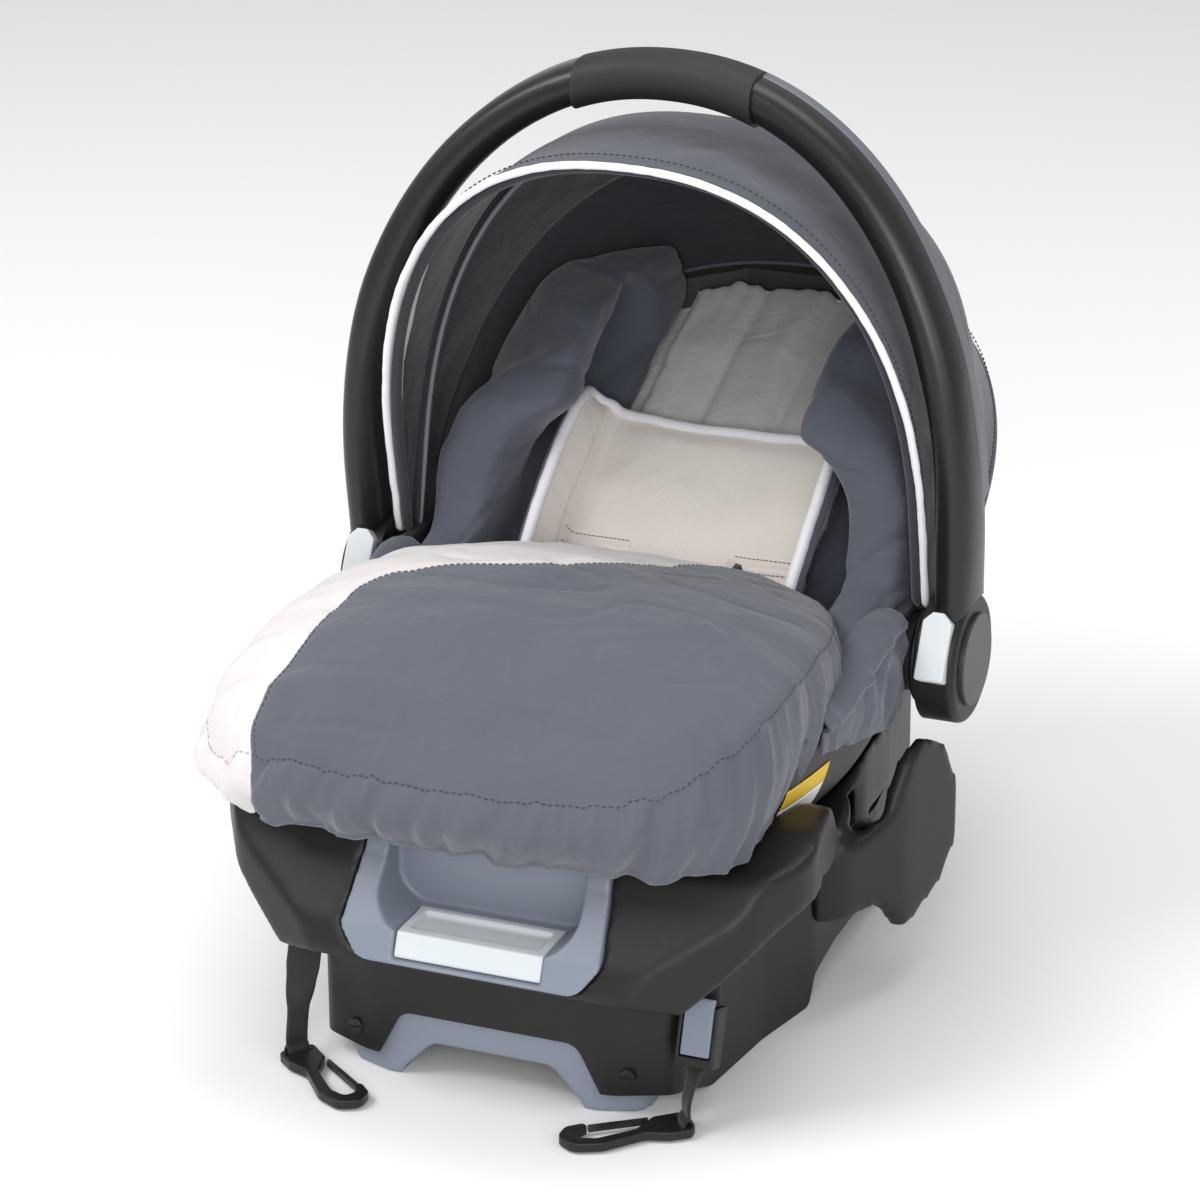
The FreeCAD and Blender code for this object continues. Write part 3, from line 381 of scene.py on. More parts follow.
def makeCamera():
    settings = {"azimuth": 21.7, "elevation": 21.4, "lens": 128.5, "distance": 2.78, "height": 0.25,
                "shiftX": -0.0507, "shiftY": -0.0366}
    turn, tilt = math.radians(settings["azimuth"]), math.radians(settings["elevation"])
    target = Vector((0, hub.y, settings["height"]))
    back = Vector((math.sin(turn) * math.cos(tilt), -math.cos(turn) * math.cos(tilt), math.sin(tilt)))
    data = bpy.data.cameras.new("camera")
    data.lens, data.sensor_width = settings["lens"], 36.0
    data.shift_x, data.shift_y = settings["shiftX"], settings["shiftY"]
    camera = newObject("camera", data)
    camera.location = target + back * settings["distance"]
    camera.rotation_mode = "QUATERNION"
    camera.rotation_quaternion = (-back).to_track_quat("-Z", "Y")
    bpy.context.scene.camera = camera


makeStage()
makeCamera()
bpy.context.scene.view_settings.view_transform = "Standard"
print("stage: floor, light and camera made")


def smoothShaded(mesh):
    mesh.polygons.foreach_set("use_smooth", [True] * len(mesh.polygons))
    return mesh


def newPiece(name, points, faces, *materials):
    mesh = bpy.data.meshes.new(name)
    mesh.from_pydata([tuple(p) for p in points], [], faces)
    for material in materials:
        mesh.materials.append(material)
    return newObject(name, smoothShaded(mesh))


def gridFaces(rows, columns, wrap=False, flip=False):
    # quads over rows x columns points; wrap joins the last column to the first
    faces = []
    for i in range(rows - 1):
        for j in range(columns if wrap else columns - 1):
            k = (j + 1) % columns
            quad = (i * columns + j, i * columns + k, (i + 1) * columns + k, (i + 1) * columns + j)
            faces.append(quad[::-1] if flip else quad)
    return faces


def bakedMesh(thing, layers=True):
    # the mesh that the modifiers make
    graph = bpy.context.evaluated_depsgraph_get()
    return bpy.data.meshes.new_from_object(thing.evaluated_get(graph), preserve_all_data_layers=layers,
                                           depsgraph=graph)


def settle(piece):
    mesh = bakedMesh(piece)
    piece.modifiers.clear()
    piece.data = smoothShaded(mesh)
    return piece


def thicken(piece, thick, innerMaterial=0):
    # gives a skin its wall, inwards from the faces
    solid = piece.modifiers.new("wall", "SOLIDIFY")
    solid.thickness = thick
    solid.offset = -1.0
    solid.use_even_offset = False
    solid.material_offset = innerMaterial
    solid.material_offset_rim = innerMaterial
    return settle(piece)


def addAttribute(piece, name, values):
    layer = piece.data.attributes.new(name, "FLOAT", "POINT")
    layer.data.foreach_set("value", np.asarray(values, np.float32))


def vectorsOf(mesh, key):
    values = np.zeros(len(mesh.vertices) * 3)
    mesh.vertices.foreach_get(key, values)
    return values.reshape(-1, 3)


def pointsOf(piece):
    return vectorsOf(piece.data, "co")


def normalsOf(piece):
    return vectorsOf(piece.data, "normal")


def movePoints(piece, points):
    piece.data.vertices.foreach_set("co", np.asarray(points, float).ravel())
    piece.data.update()


def smoothStep(value, low, high):
    t = np.clip((np.asarray(value, float) - low) / (high - low), 0, 1)
    return t * t * (3 - 2 * t)


def roughness(points, size, seed=0.0, stretch=(1, 1, 1)):
    # smooth random value for each point, about -1 to 1, with features of the given size in metres
    scaled = points * np.array(stretch) / size + seed
    return np.array([noise.noise(Vector(p)) for p in scaled])


def ridges(points, size, seed=0.0, stretch=(1, 1, 1)):
    # thin dents between rounded swells, 0 to 1
    return 1 - np.abs(roughness(points, size, seed, stretch)) * 2


def smoothPath(controls, count):
    # Catmull-Rom curve through the control points, evenly sampled
    pts = [Vector(c) for c in controls]
    pts = [pts[0] * 2 - pts[1]] + pts + [pts[-1] * 2 - pts[-2]]
    fine = []
    for a, b, c, d in zip(pts, pts[1:], pts[2:], pts[3:]):
        for k in range(24):
            t = k / 24
            fine.append(0.5 * (2 * b + (c - a) * t + (2 * a - 5 * b + 4 * c - d) * t * t
                               + (3 * b - a - 3 * c + d) * t ** 3))
    fine.append(pts[-2])
    return resample(fine, count)


def resample(path, count):
    path = np.array([tuple(p) for p in path])
    reach = np.concatenate([[0], np.cumsum(np.linalg.norm(np.diff(path, axis=0), axis=1))])
    at = np.linspace(0, reach[-1], count)
    return np.stack([np.interp(at, reach, path[:, k]) for k in range(3)], axis=1)


def pathFrames(path):
    # tangent, side and top directions that turn as little as possible along the path
    tangents = np.gradient(path, axis=0)
    tangents /= np.linalg.norm(tangents, axis=1)[:, None]
    side = np.cross(tangents[0], (0.13, 0.35, 0.93))
    frames = []
    for tangent in tangents:
        side = side - tangent * (side @ tangent)
        side = side / np.linalg.norm(side)
        frames.append((tangent, side, np.cross(tangent, side)))
    return frames


def tubeMesh(name, path, radius, material, ripple=0.0):
    # closed tube; ripple varies its radius, as gathered piping does
    sides = 12
    path = np.asarray(path)
    points = []
    for i, (at, (_, side, top)) in enumerate(zip(path, pathFrames(path))):
        end = min(1.0, 0.35 + 0.65 * min(i, len(path) - 1 - i))
        r = radius * end * (1 + ripple * noise.noise(Vector(at) * 160))
        for k in range(sides):
            turn = 2 * math.pi * k / sides
            points.append(at + r * (math.cos(turn) * side + math.sin(turn) * top))
    faces = gridFaces(len(path), sides, wrap=True)
    faces.append(tuple(range(sides))[::-1])
    faces.append(tuple(range(len(points) - sides, len(points))))
    piece = newPiece(name, points, faces, material)
    outwards(piece)
    return piece


def outwards(piece):
    mesh = bmesh.new()
    mesh.from_mesh(piece.data)
    bmesh.ops.recalc_face_normals(mesh, faces=mesh.faces)
    mesh.to_mesh(piece.data)
    mesh.free()
    piece.data.update()


def ribbonMesh(name, path, across, width, thick, material):
    # flat webbing with rounded selvedges; across is its width direction, one vector or one for each point
    path = np.asarray(path)
    across = np.broadcast_to(np.asarray(across, float), path.shape)
    width = np.broadcast_to(np.asarray(width, float), len(path))
    upper = [(-0.5, 0.0), (-0.47, 0.42), (-0.36, 0.5), (-0.12, 0.44), (0.12, 0.44), (0.36, 0.5), (0.47, 0.42)]
    outline = upper + [(-x, -y) for x, y in upper]
    tangents = np.gradient(path, axis=0)
    points = []
    for at, along, side, wide in zip(path, tangents, across, width):
        up = np.cross(along, side)
        up /= np.linalg.norm(up)
        side = side / np.linalg.norm(side)
        for x, y in outline:
            points.append(at + side * x * wide + up * y * thick)
    count = len(outline)
    faces = gridFaces(len(path), count, wrap=True)
    faces.append(tuple(range(count))[::-1])
    faces.append(tuple(range(len(points) - count, len(points))))
    piece = newPiece(name, points, faces, material)
    outwards(piece)
    return piece


def finishPiece(piece, body, *nodes, slot=None):
    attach(piece, body)
    if nodes:
        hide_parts(*nodes)
    return piece


def stitchTree():
    # short rounded threads laid end to end along a curve
    tree = bpy.data.node_groups.new("stitchRun", "GeometryNodeTree")
    for label, way, kind in (("Geometry", "INPUT", "Geometry"), ("Spacing", "INPUT", "Float"),
                             ("Length", "INPUT", "Float"), ("Thickness", "INPUT", "Float"),
                             ("Thread", "INPUT", "Material"), ("Geometry", "OUTPUT", "Geometry")):
        tree.interface.new_socket(label, in_out=way, socket_type="NodeSocket" + kind)
    start, end, half, scale, resampled, thread, tangent, align, laid, real, painted = (
        tree.nodes.new(kind) for kind in (
            "NodeGroupInput", "NodeGroupOutput", "ShaderNodeMath", "ShaderNodeCombineXYZ",
            "GeometryNodeResampleCurve", "GeometryNodeMeshUVSphere", "GeometryNodeInputTangent",
            "FunctionNodeAlignRotationToVector", "GeometryNodeInstanceOnPoints",
            "GeometryNodeRealizeInstances", "GeometryNodeSetMaterial"))
    resampled.mode = "LENGTH"
    half.operation = "MULTIPLY"
    half.inputs[1].default_value = 0.5
    align.axis = "Z"
    for label, value in (("Segments", 6), ("Rings", 5), ("Radius", 1.0)):
        thread.inputs[label].default_value = value
    for giver, given, taker, taken in (
            (start, "Geometry", resampled, "Curve"), (start, "Spacing", resampled, "Length"),
            (start, "Length", half, 0), (start, "Thickness", scale, "X"), (start, "Thickness", scale, "Y"),
            (half, 0, scale, "Z"), (tangent, 0, align, "Vector"), (resampled, 0, laid, "Points"),
            (thread, "Mesh", laid, "Instance"), (align, 0, laid, "Rotation"), (scale, 0, laid, "Scale"),
            (laid, 0, real, 0), (real, 0, painted, "Geometry"), (start, "Thread", painted, "Material"),
            (painted, 0, end, 0)):
        tree.links.new(giver.outputs[given], taker.inputs[taken])
    return tree


stitchNodes = stitchTree()
stitchSockets = {item.name: item.identifier for item in stitchNodes.interface.items_tree
                 if item.in_out == "INPUT"}


def stitch(name, runs, thread, spacing=0.0042, length=0.0031, thickness=0.00055):
    # one piece of stitching made of several seams, each a list of points
    curve = bpy.data.curves.new(name, "CURVE")
    curve.dimensions = "3D"
    for run in runs:
        spline = curve.splines.new("POLY")
        spline.points.add(len(run) - 1)
        for point, at in zip(spline.points, run):
            point.co = (*at, 1.0)
    line = newObject(name + "Line", curve)
    modifier = line.modifiers.new("stitches", "NODES")
    modifier.node_group = stitchNodes
    values = {"Spacing": spacing, "Length": length, "Thickness": thickness, "Thread": thread}
    for label, value in values.items():
        modifier[stitchSockets[label]] = value
    mesh = bakedMesh(line, layers=False)
    bpy.data.objects.remove(line)
    mesh.name = name
    return newObject(name, smoothShaded(mesh))


def copyOfNode(node, name, material):
    mesh = frame["nodes"][node].data.copy()
    work = bmesh.new()
    work.from_mesh(mesh)
    bmesh.ops.remove_doubles(work, verts=work.verts, dist=0.00002)
    work.to_mesh(mesh)
    work.free()
    mesh.materials.clear()
    mesh.materials.append(material)
    return newObject(name, mesh)


def remesh(piece, voxel, smooth):
    grid = piece.modifiers.new("grid", "REMESH")
    grid.mode = "VOXEL"
    grid.voxel_size = voxel
    grid.use_smooth_shade = True
    even = piece.modifiers.new("even", "SMOOTH")
    even.factor, even.iterations = 0.5, smooth
    return settle(piece)


def swell(piece, cap):
    # cloth skin blown up by its filling over some frames; no point moves further than cap
    settings = {"pressure": 2.0, "frames": 20}
    before = pointsOf(piece)
    skin = piece.modifiers.new("skin", "CLOTH")
    skin.settings.quality = 4
    skin.settings.mass = 0.3
    skin.settings.tension_stiffness = skin.settings.compression_stiffness = 12
    skin.settings.shear_stiffness = 6
    skin.settings.bending_stiffness = 0.4
    skin.settings.use_pressure = True
    skin.settings.uniform_pressure_force = settings["pressure"]
    skin.settings.effector_weights.gravity = 0
    skin.collision_settings.use_collision = False
    scene = bpy.context.scene
    for step in range(1, settings["frames"] + 1):
        scene.frame_set(step)
    moved = vectorsOf(bakedMesh(piece), "co") - before
    piece.modifiers.clear()
    scene.frame_set(1)
    far = np.linalg.norm(moved, axis=1)[:, None]
    movePoints(piece, before + moved * np.minimum(1, cap / np.maximum(far, 1e-9)))
    return piece


canopyShape = {"half": 184.0, "reach": 325.0, "shoulder": 90.0, "ring": 34.0, "square": 2.32,
               "bows": (-11.3, 13.1, 37.5, 62.0), "sag": 5.0, "cloth": 2.4, "piping": 2.5, "facing": 26.0,
               "columns": 161, "rows": 22,
               "tuck": ((0.9, 2.5), (1.7, 7.0), (2.0, 12.6))}  # degrees past the rear hem, and how far in


def canopyProfile(drop, count):
    # the section that a bow makes: x and the distance from the hub line, from the left hub over to the right
    s = canopyShape
    half, reach = s["half"] - drop, s["reach"] - drop
    arch = [(half * math.cos(t) ** (2 / s["square"]),
             s["shoulder"] + (reach - s["shoulder"]) * math.sin(t) ** (2 / s["square"]))
            for t in np.linspace(0.0, math.pi / 2 - 1e-6, 60)]
    right = [(half, s["ring"], 0.0)] + [(x, r, 0.0) for x, r in arch]
    whole = [(-x, r, z) for x, r, z in right] + [(x, r, z) for x, r, z in reversed(right[:-1])]
    return resample([Vector(p) for p in whole], count)[:, :2]


def canopyPoint(section, angle):
    x, r = section
    turn = math.radians(angle)
    return place(x, r * math.sin(turn), 0) + Vector((0, 0, hub.z + r * mm * math.cos(turn)))


def canopySheet(name, first, last, paleHem=False, tuck=()):
    s = canopyShape
    columns, rows = s["columns"], s["rows"]
    points, pale, facing = [], [], []
    plain = canopyProfile(0.0, columns)
    for i in range(rows):
        share = i / (rows - 1)
        angle = first + (last - first) * share
        sunk = canopyProfile(round(s["sag"] * math.sin(math.pi * share), 2), columns)
        for j in range(columns):
            top = float(smoothStep(plain[j][1], 110, 240))
            x, r = plain[j] * (1 - top) + sunk[j] * top
            at = canopyPoint((x, r), angle)
            ripple = noise.noise(at * 34 + Vector((7, 0, 0))) * 1.6 + noise.noise(at * 90) * 0.5
            ripple *= math.sin(math.pi * share) * (1.0 if top > 0.3 else 1.7)
            outward = (at - Vector((at.x, hub.y, hub.z))).normalized()
            out = Vector((x, 0, 0)).normalized() * 0.4 + outward * 0.9
            points.append(at + out * ripple * mm)
            low = float(smoothStep(s["reach"] - r, 10, 190))
            edge = first + 17.0 * low if x < 0 else first - 5.0
            pale.append(math.radians(edge - angle) * r * mm)
            band = s["facing"] * float(smoothStep(low, 0.0, 0.5)) * float(np.interp(r, [40, 180], [0.3, 1.0]))
            inFacing = (band - math.radians(angle - first) * r) * mm
            facing.append(inFacing if x < 0 and paleHem else -1.0)
    for turn, drop in tuck:
        for x, r in canopyProfile(drop, columns):
            points.append(canopyPoint((x, r), last + turn))
            pale.append(-1.0)
            facing.append(-1.0)
    piece = newPiece(name, points, gridFaces(rows + len(tuck), columns), looks["canopyCloth"],
                     looks["canopyLiner"])
    addAttribute(piece, "facing", facing)
    addAttribute(piece, "paleSide", pale if paleHem else [-1.0] * len(points))
    return thicken(piece, s["cloth"] * mm, innerMaterial=1)


def bowLine(angle, drop, count=150, wave=0.0):
    # along the section at this angle; wave lets it wander a little
    line = []
    for section in canopyProfile(drop, count):
        at = canopyPoint(section, angle)
        line.append(at + Vector((noise.noise(at * 60), noise.noise(at * 60 + Vector((9, 0, 0))), 0)) * wave)
    return line


def makeCanopy():
    s = canopyShape
    bows = s["bows"]
    for i, part in enumerate(("front", "middle", "rear")):
        sheet = canopySheet("canopy_cloth_" + part, bows[i], bows[i + 1], paleHem=i == 0,
                            tuck=s["tuck"] if i == 2 else ())
        if i < 2:
            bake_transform(sheet)
        else:
            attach(sheet, "carrier")
        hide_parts("canopy_%s_fabric" % part)
    for name, angle, body, node in (("canopy_bow_front", bows[0] + 1.4, "canopy_front", "canopy_front_bow"),
                                    ("canopy_bow_middle", bows[1], "canopy_middle", "canopy_middle_bow")):
        bow = tubeMesh(name, bowLine(angle, 6.5), 3.6 * mm, looks["linerCloth"])
        finishPiece(bow, body, node, slot="dark_fabric")
    front = bowLine(bows[0] - 0.2, 0.6, 260, 0.0005)
    middle, rear = bowLine(bows[1] - 1.2, 9.0, 200), bowLine(bows[3] - 0.3, 1.0, 200)
    for part, line, radius, look, ripple, body, slot in (
            ("front", front, s["piping"], "pipingCloth", 0.12, "canopy_front", "light_fabric"),
            ("middle", middle, 1.5, "greyPipingCloth", 0.0, "canopy_middle", "dark_fabric"),
            ("rear", rear, 2.4, "darkCloth", 0.0, "carrier", "dark_fabric")):
        piping = tubeMesh("canopy_piping_" + part, line, radius * mm, looks[look], ripple=ripple)
        finishPiece(piping, body, slot=slot)
    ringRadius = 0.031
    for side in (-1, 1):
        ring = []
        for k in range(33):
            turn = 2 * math.pi * k / 32
            offset = (side * (s["half"] - 1.2) * mm, math.cos(turn) * ringRadius, math.sin(turn) * ringRadius)
            ring.append(hub + Vector(offset))
        eyelet = tubeMesh("canopy_bow_ring_" + ("left" if side < 0 else "right"), ring, 2.2 * mm,
                          looks["blackPlastic"])
        finishPiece(eyelet, "canopy_front", slot="black_plastic")
    for part, angle, drop, body in (("front", bows[0] + 2.3, -0.5, "canopy_front"),
                                    ("rear", bows[3] - 2.6, -0.4, "carrier")):
        seam = stitch("canopy_stitches_" + part, [bowLine(angle, drop, 400)], looks["stitchDark"])
        finishPiece(seam, body, slot="dark_fabric")


makeCanopy()
print("stage: canopy made")


bootShape = {"middle": 205.0, "square": 2.7, "centre": (-8.0, -168.0), "rings": 84, "around": 560,
             "skirtRings": 26, "wall": 7.0,
             # y, half width and top height of the crown
             "stations": [(-320, 118, 219), (-308, 150, 240), (-286, 182, 262), (-245, 192, 281),
                          (-200, 194, 290), (-150, 190, 290), (-105, 178, 284), (-62, 162, 271),
                          (-26, 139, 257), (-2, 104, 247)],
             "seam": [(0, -1), (58, -3), (98, -12), (124, -38), (144, -72), (156, -108), (163, -152),
                      (166, -200), (164, -245), (153, -280), (130, -302), (94, -314), (48, -319), (0, -320),
                      (-50, -320), (-106, -317), (-152, -308), (-180, -291), (-193, -258), (-197, -215),
                      (-194, -160), (-184, -108), (-166, -64), (-142, -30), (-108, -9), (-60, -3)],
             "border": [(-128, -360), (-137, -322), (-146, -303), (-143, -289), (-136, -266), (-132, -240),
                        (-129, -208), (-118, -176), (-88, -155), (-37, -145), (0, -116), (36, -60), (60, 10)]}


def bootAt(y):
    stations = np.array(bootShape["stations"], float)
    return np.interp(y, stations[:, 0], stations[:, 1]), np.interp(y, stations[:, 0], stations[:, 2])


def bootOutline(count):
    # the seam in plan, from the rear edge's middle round by the right side
    loop = [Vector((x, y, 0)) for x, y in bootShape["seam"]]
    loop.append(loop[0])
    return smoothPath(loop, count + 1)[:-1, :2]


def bootHeight(x, y):
    half, top = bootAt(y)
    square = bootShape["square"]
    inside = np.clip(1 - np.abs(x / (half + 4)) ** square, 0, 1) ** (1 / square)
    front = smoothStep(-y, 285, 322)
    return bootShape["middle"] + (top - bootShape["middle"]) * inside * (1 - 0.25 * front) + 3.0


def paleBorder(x, y):
    # signed distance to the border between the pale side and the dark middle; positive on the pale side
    border = smoothPath([Vector((*p, 0)) for p in bootShape["border"]], 120)[:, :2]
    best = np.full(len(x), 1e9)
    side = np.zeros(len(x))
    for a, b in zip(border, border[1:]):
        run = b - a
        t = np.clip(((x - a[0]) * run[0] + (y - a[1]) * run[1]) / (run @ run), 0, 1)
        far = np.hypot(x - a[0] - t * run[0], y - a[1] - t * run[1])
        nearer = far < best
        best = np.where(nearer, far, best)
        side = np.where(nearer, np.sign(run[0] * (y - a[1]) - run[1] * (x - a[0])), side)
    return best * side


def gather(arc, size, seed):
    # uneven gathers along a seam, about -1 to 1; the last samples fade into the first
    value = np.array([noise.noise(Vector((a / size, seed, 0))) * 1.5 for a in arc])
    start = np.array([noise.noise(Vector(((a - arc[-1]) / size, seed, 0))) * 1.5 for a in arc])
    fade = smoothStep(arc, arc[-1] * 0.93, arc[-1])
    return value * (1 - fade) + start * fade


def makeBoot():
    s = bootShape
    around, rings = s["around"], s["rings"]
    outline = bootOutline(around)
    centre = np.array(s["centre"])
    arc = np.concatenate([[0], np.cumsum(np.linalg.norm(np.diff(outline, axis=0), axis=1))])
    broad, fold, fine = gather(arc, 21.0, 1.7), gather(arc, 9.5, 3.3), gather(arc, 4.6, 6.1)
    skirt = smoothStep(-outline[:, 1], 25, 120)  # the rear edge has no skirt
    reach = np.linalg.norm(outline - centre, axis=1)
    push = (outline - centre) / reach[:, None]
    rows = []
    for i in range(1, rings + 1):
        share = math.sin(math.pi / 2 * i / rings)
        flat = centre + (outline - centre) * share
        inset = (1 - share) * reach
        puckers = (fold * 1.7 + fine * 0.8) * np.exp(-inset / 15.0) + broad * 2.0 * np.exp(-inset / 34.0)
        z = bootHeight(flat[:, 0], flat[:, 1]) + puckers * (0.35 + 0.65 * skirt)
        z = z - 3.0 * np.exp(-(inset / 3.4) ** 2) * skirt
        rows.append(np.column_stack([flat, z]))
    seamRow = rows[-1]
    hem = np.interp(outline[:, 1], [-255, -175, -60, 0], [172, 192, 206, 232])
    for i in range(1, s["skirtRings"] + 1):
        share = i / s["skirtRings"]
        z = (seamRow[:, 2] * (1 - share) + (hem + (broad * 3.4 + fold * 1.4) * skirt) * share
             - (1 - skirt) * 6 * share)
        bulge = 8.0 * math.sin(math.pi * min(1.0, share * 1.1)) - 8.0 * share ** 2.4
        drift = (np.roll(broad, int(4 * share * 3)) * (1.6 + 4.0 * share)
                 + np.roll(fold, int(share * 7)) * (1.0 + 1.7 * share))
        out = (bulge + drift + fine * 0.7) * skirt - (1 - skirt) * 3 * share
        flat = outline + push * out[:, None]
        rows.append(np.column_stack([flat, z]))
    top = np.array([[centre[0], centre[1], bootHeight(centre[0], centre[1])]])
    raw = np.concatenate([top] + rows)
    points = np.array([tuple(place(*p)) for p in raw])
    faces = [(0, 1 + j, 1 + (j + 1) % around) for j in range(around)]
    for quad in gridFaces(len(rows), around, wrap=True):
        faces.append(tuple(k + 1 for k in quad))
    piece = newPiece("boot_cover_cloth", points, faces, looks["bootCloth"], looks["linerCloth"])
    outwards(piece)
    normals = normalsOf(piece)
    onTop = [(1 - math.sin(math.pi / 2 * i / rings)) * reach for i in range(1, rings + 1)]
    inset = np.concatenate([[150.0]] + onTop + [np.zeros(around)] * s["skirtRings"])
    soft = smoothStep(inset, 0.0, 30.0)
    lumps = roughness(points, 0.095, 3.0) * 3.6 + roughness(points, 0.038, 8.0, (1, 1.5, 1)) * 1.5
    creases = -np.clip(ridges(points, 0.058, 5.0, (0.7, 1.5, 1)) - 0.74, 0, 1) * 5.0
    border = paleBorder(raw[:, 0], raw[:, 1])
    groove = -2.0 * np.exp(-(border / 2.4) ** 2) * (raw[:, 2] > 204)
    movePoints(piece, points + normals * ((lumps + creases) * soft + groove)[:, None] * mm)
    addAttribute(piece, "paleSide", border * mm)
    surface = pointsOf(piece)
    thicken(piece, s["wall"] * mm, innerMaterial=1)
    finishPiece(piece, "carrier", "boot_cover", slot="dark_fabric")
    # stitching round the seam, in pale thread on the pale side, and beside the border
    beforeLast = range(1 + (rings - 2) * around, 1 + (rings - 1) * around)
    seam = [(surface[k] + np.array((0, 0, 0.0004)), border[k]) for k in beforeLast]
    seam = [(p, side) for p, side in seam if p[1] < place(0, -24, 0).y]
    edge = smoothPath([Vector((*p, 0)) for p in s["border"]], 160)[:, :2]
    edge = edge[(edge[:, 1] > -312) & (edge[:, 1] < -14)]
    beside = []
    for p, q in zip(edge, edge[1:]):
        out = np.array((q[1] - p[1], p[0] - q[0])) / np.hypot(*(q - p)) * 3.4
        beside.append(p + out)
    tree = BVHTree.FromPolygons([Vector(p) for p in surface], faces)
    hits = [tree.ray_cast(place(x, y, 400), Vector((0, 0, -1)))[0] for x, y in beside]
    darkRuns = [[p for p, side in seam if side < -1], [h + Vector((0, 0, 0.0003)) for h in hits if h]]
    paleRuns = [[p for p, side in seam if side > 1]]
    for part, runs, look, slot in (("dark", darkRuns, "stitchDark", "dark_fabric"),
                                   ("pale", paleRuns, "stitchPale", "light_fabric")):
        seam = stitch("boot_stitches_" + part, runs, looks[look], thickness=0.0004)
        finishPiece(seam, "carrier", slot=slot)


makeBoot()
print("stage: foot cover made")


seatLine = [(-250, 196), (-205, 164), (-150, 146), (-95, 144), (-50, 156), (-15, 184), (33, 226), (118, 286),
            (200, 324), (256, 346)]  # y and height of the seat's surface in the middle


def seatHeight(y):
    line = np.array(seatLine, float)
    return np.interp(y, line[:, 0], line[:, 1])


def filledPad(node, name, look, smooth, cap):
    # the node's shape with soft edges, blown up by its filling
    pad = copyOfNode(node, name, looks[look])
    remesh(pad, 0.0048, smooth)
    swell(pad, cap)
    finer = pad.modifiers.new("finer", "SUBSURF")
    finer.levels = finer.render_levels = 1
    settle(pad)
    return pad, pointsOf(pad), normalsOf(pad)


def makePads():
    settings = {"bolsterSmooth": 22, "bolsterCap": 0.0045, "panelSmooth": 10, "panelCap": 0.004,
                "channels": 27}
    for side in ("left", "right"):
        pad, points, normals = filledPad("seat_pad_bolster_" + side, "bolster_cloth_" + side, "darkCloth",
                                         settings["bolsterSmooth"], settings["bolsterCap"])
        lumps = roughness(points, 0.07, 2.0) * 2.6 + roughness(points, 0.03, 4.0) * 1.0
        creases = -np.clip(ridges(points, 0.06, 1.0, (1, 0.6, 1.4)) - 0.74, 0, 1) * 7.0
        movePoints(pad, points + normals * (lumps + creases)[:, None] * mm)
        finishPiece(pad, "carrier", "seat_pad_bolster_" + side, slot="dark_fabric")
    panel, points, normals = filledPad("seat_pad_panel", "seat_panel_cloth", "paleCloth",
                                       settings["panelSmooth"], settings["panelCap"])
    at = settings["channels"]
    x = points[:, 0] / mm
    y = (points[:, 1] - hub.y) / mm
    channel = sum(np.exp(-((x - c) / 4.5) ** 2) for c in (-at, at)) * -4.2
    puff = 2.4 * np.cos(x / at * math.pi) * 0.5
    gathers = roughness(points, 0.011, 2.0, (1, 0.12, 0.12)) * 3.2 * (0.25 + smoothStep(y, 185, 240))
    upward = smoothStep(normals[:, 2], 0.1, 0.6)
    out = (channel + puff + gathers) * upward + roughness(points, 0.05, 6.0)
    movePoints(panel, points + normals * out[:, None] * mm)
    finishPiece(panel, "carrier", "seat_pad_panel", slot="light_fabric")


makePads()
print("stage: seat pads made")


insertShape = {"half": 80.0, "top": 120.0, "bottom": -34.0, "wing": 42.0, "lean": 15.0, "corner": 13.0,
               "wall": 8.0, "rise": 3.0, "piping": 3.9, "slots": (-56, 56), "slotAt": 34, "rows": 74,
               "columns": 121}


def insertSection(y):
    # across the insert at y, from the left wing's edge to the right one's: x and the height over the seat
    s = insertShape
    wing = s["wing"] * float(np.interp(y, [-40, 0, 55, 96, 112, 121], [0.82, 0.95, 1.08, 1.0, 0.72, 0.34]))
    half, lean, corner = s["half"], s["lean"], s["corner"]
    right = [(half + lean, wing), (half + lean * 0.55, wing * 0.55), (half + 1, corner * 0.75),
             (half - corner * 0.6, 1.6), (half - 26, 0.0), (30, -1.0), (0, -1.2)]
    whole = [(-x, 0.0, h) for x, h in right] + [(x, 0.0, h) for x, h in reversed(right[:-1])]
    return smoothPath(whole, s["columns"])[:, (0, 2)]


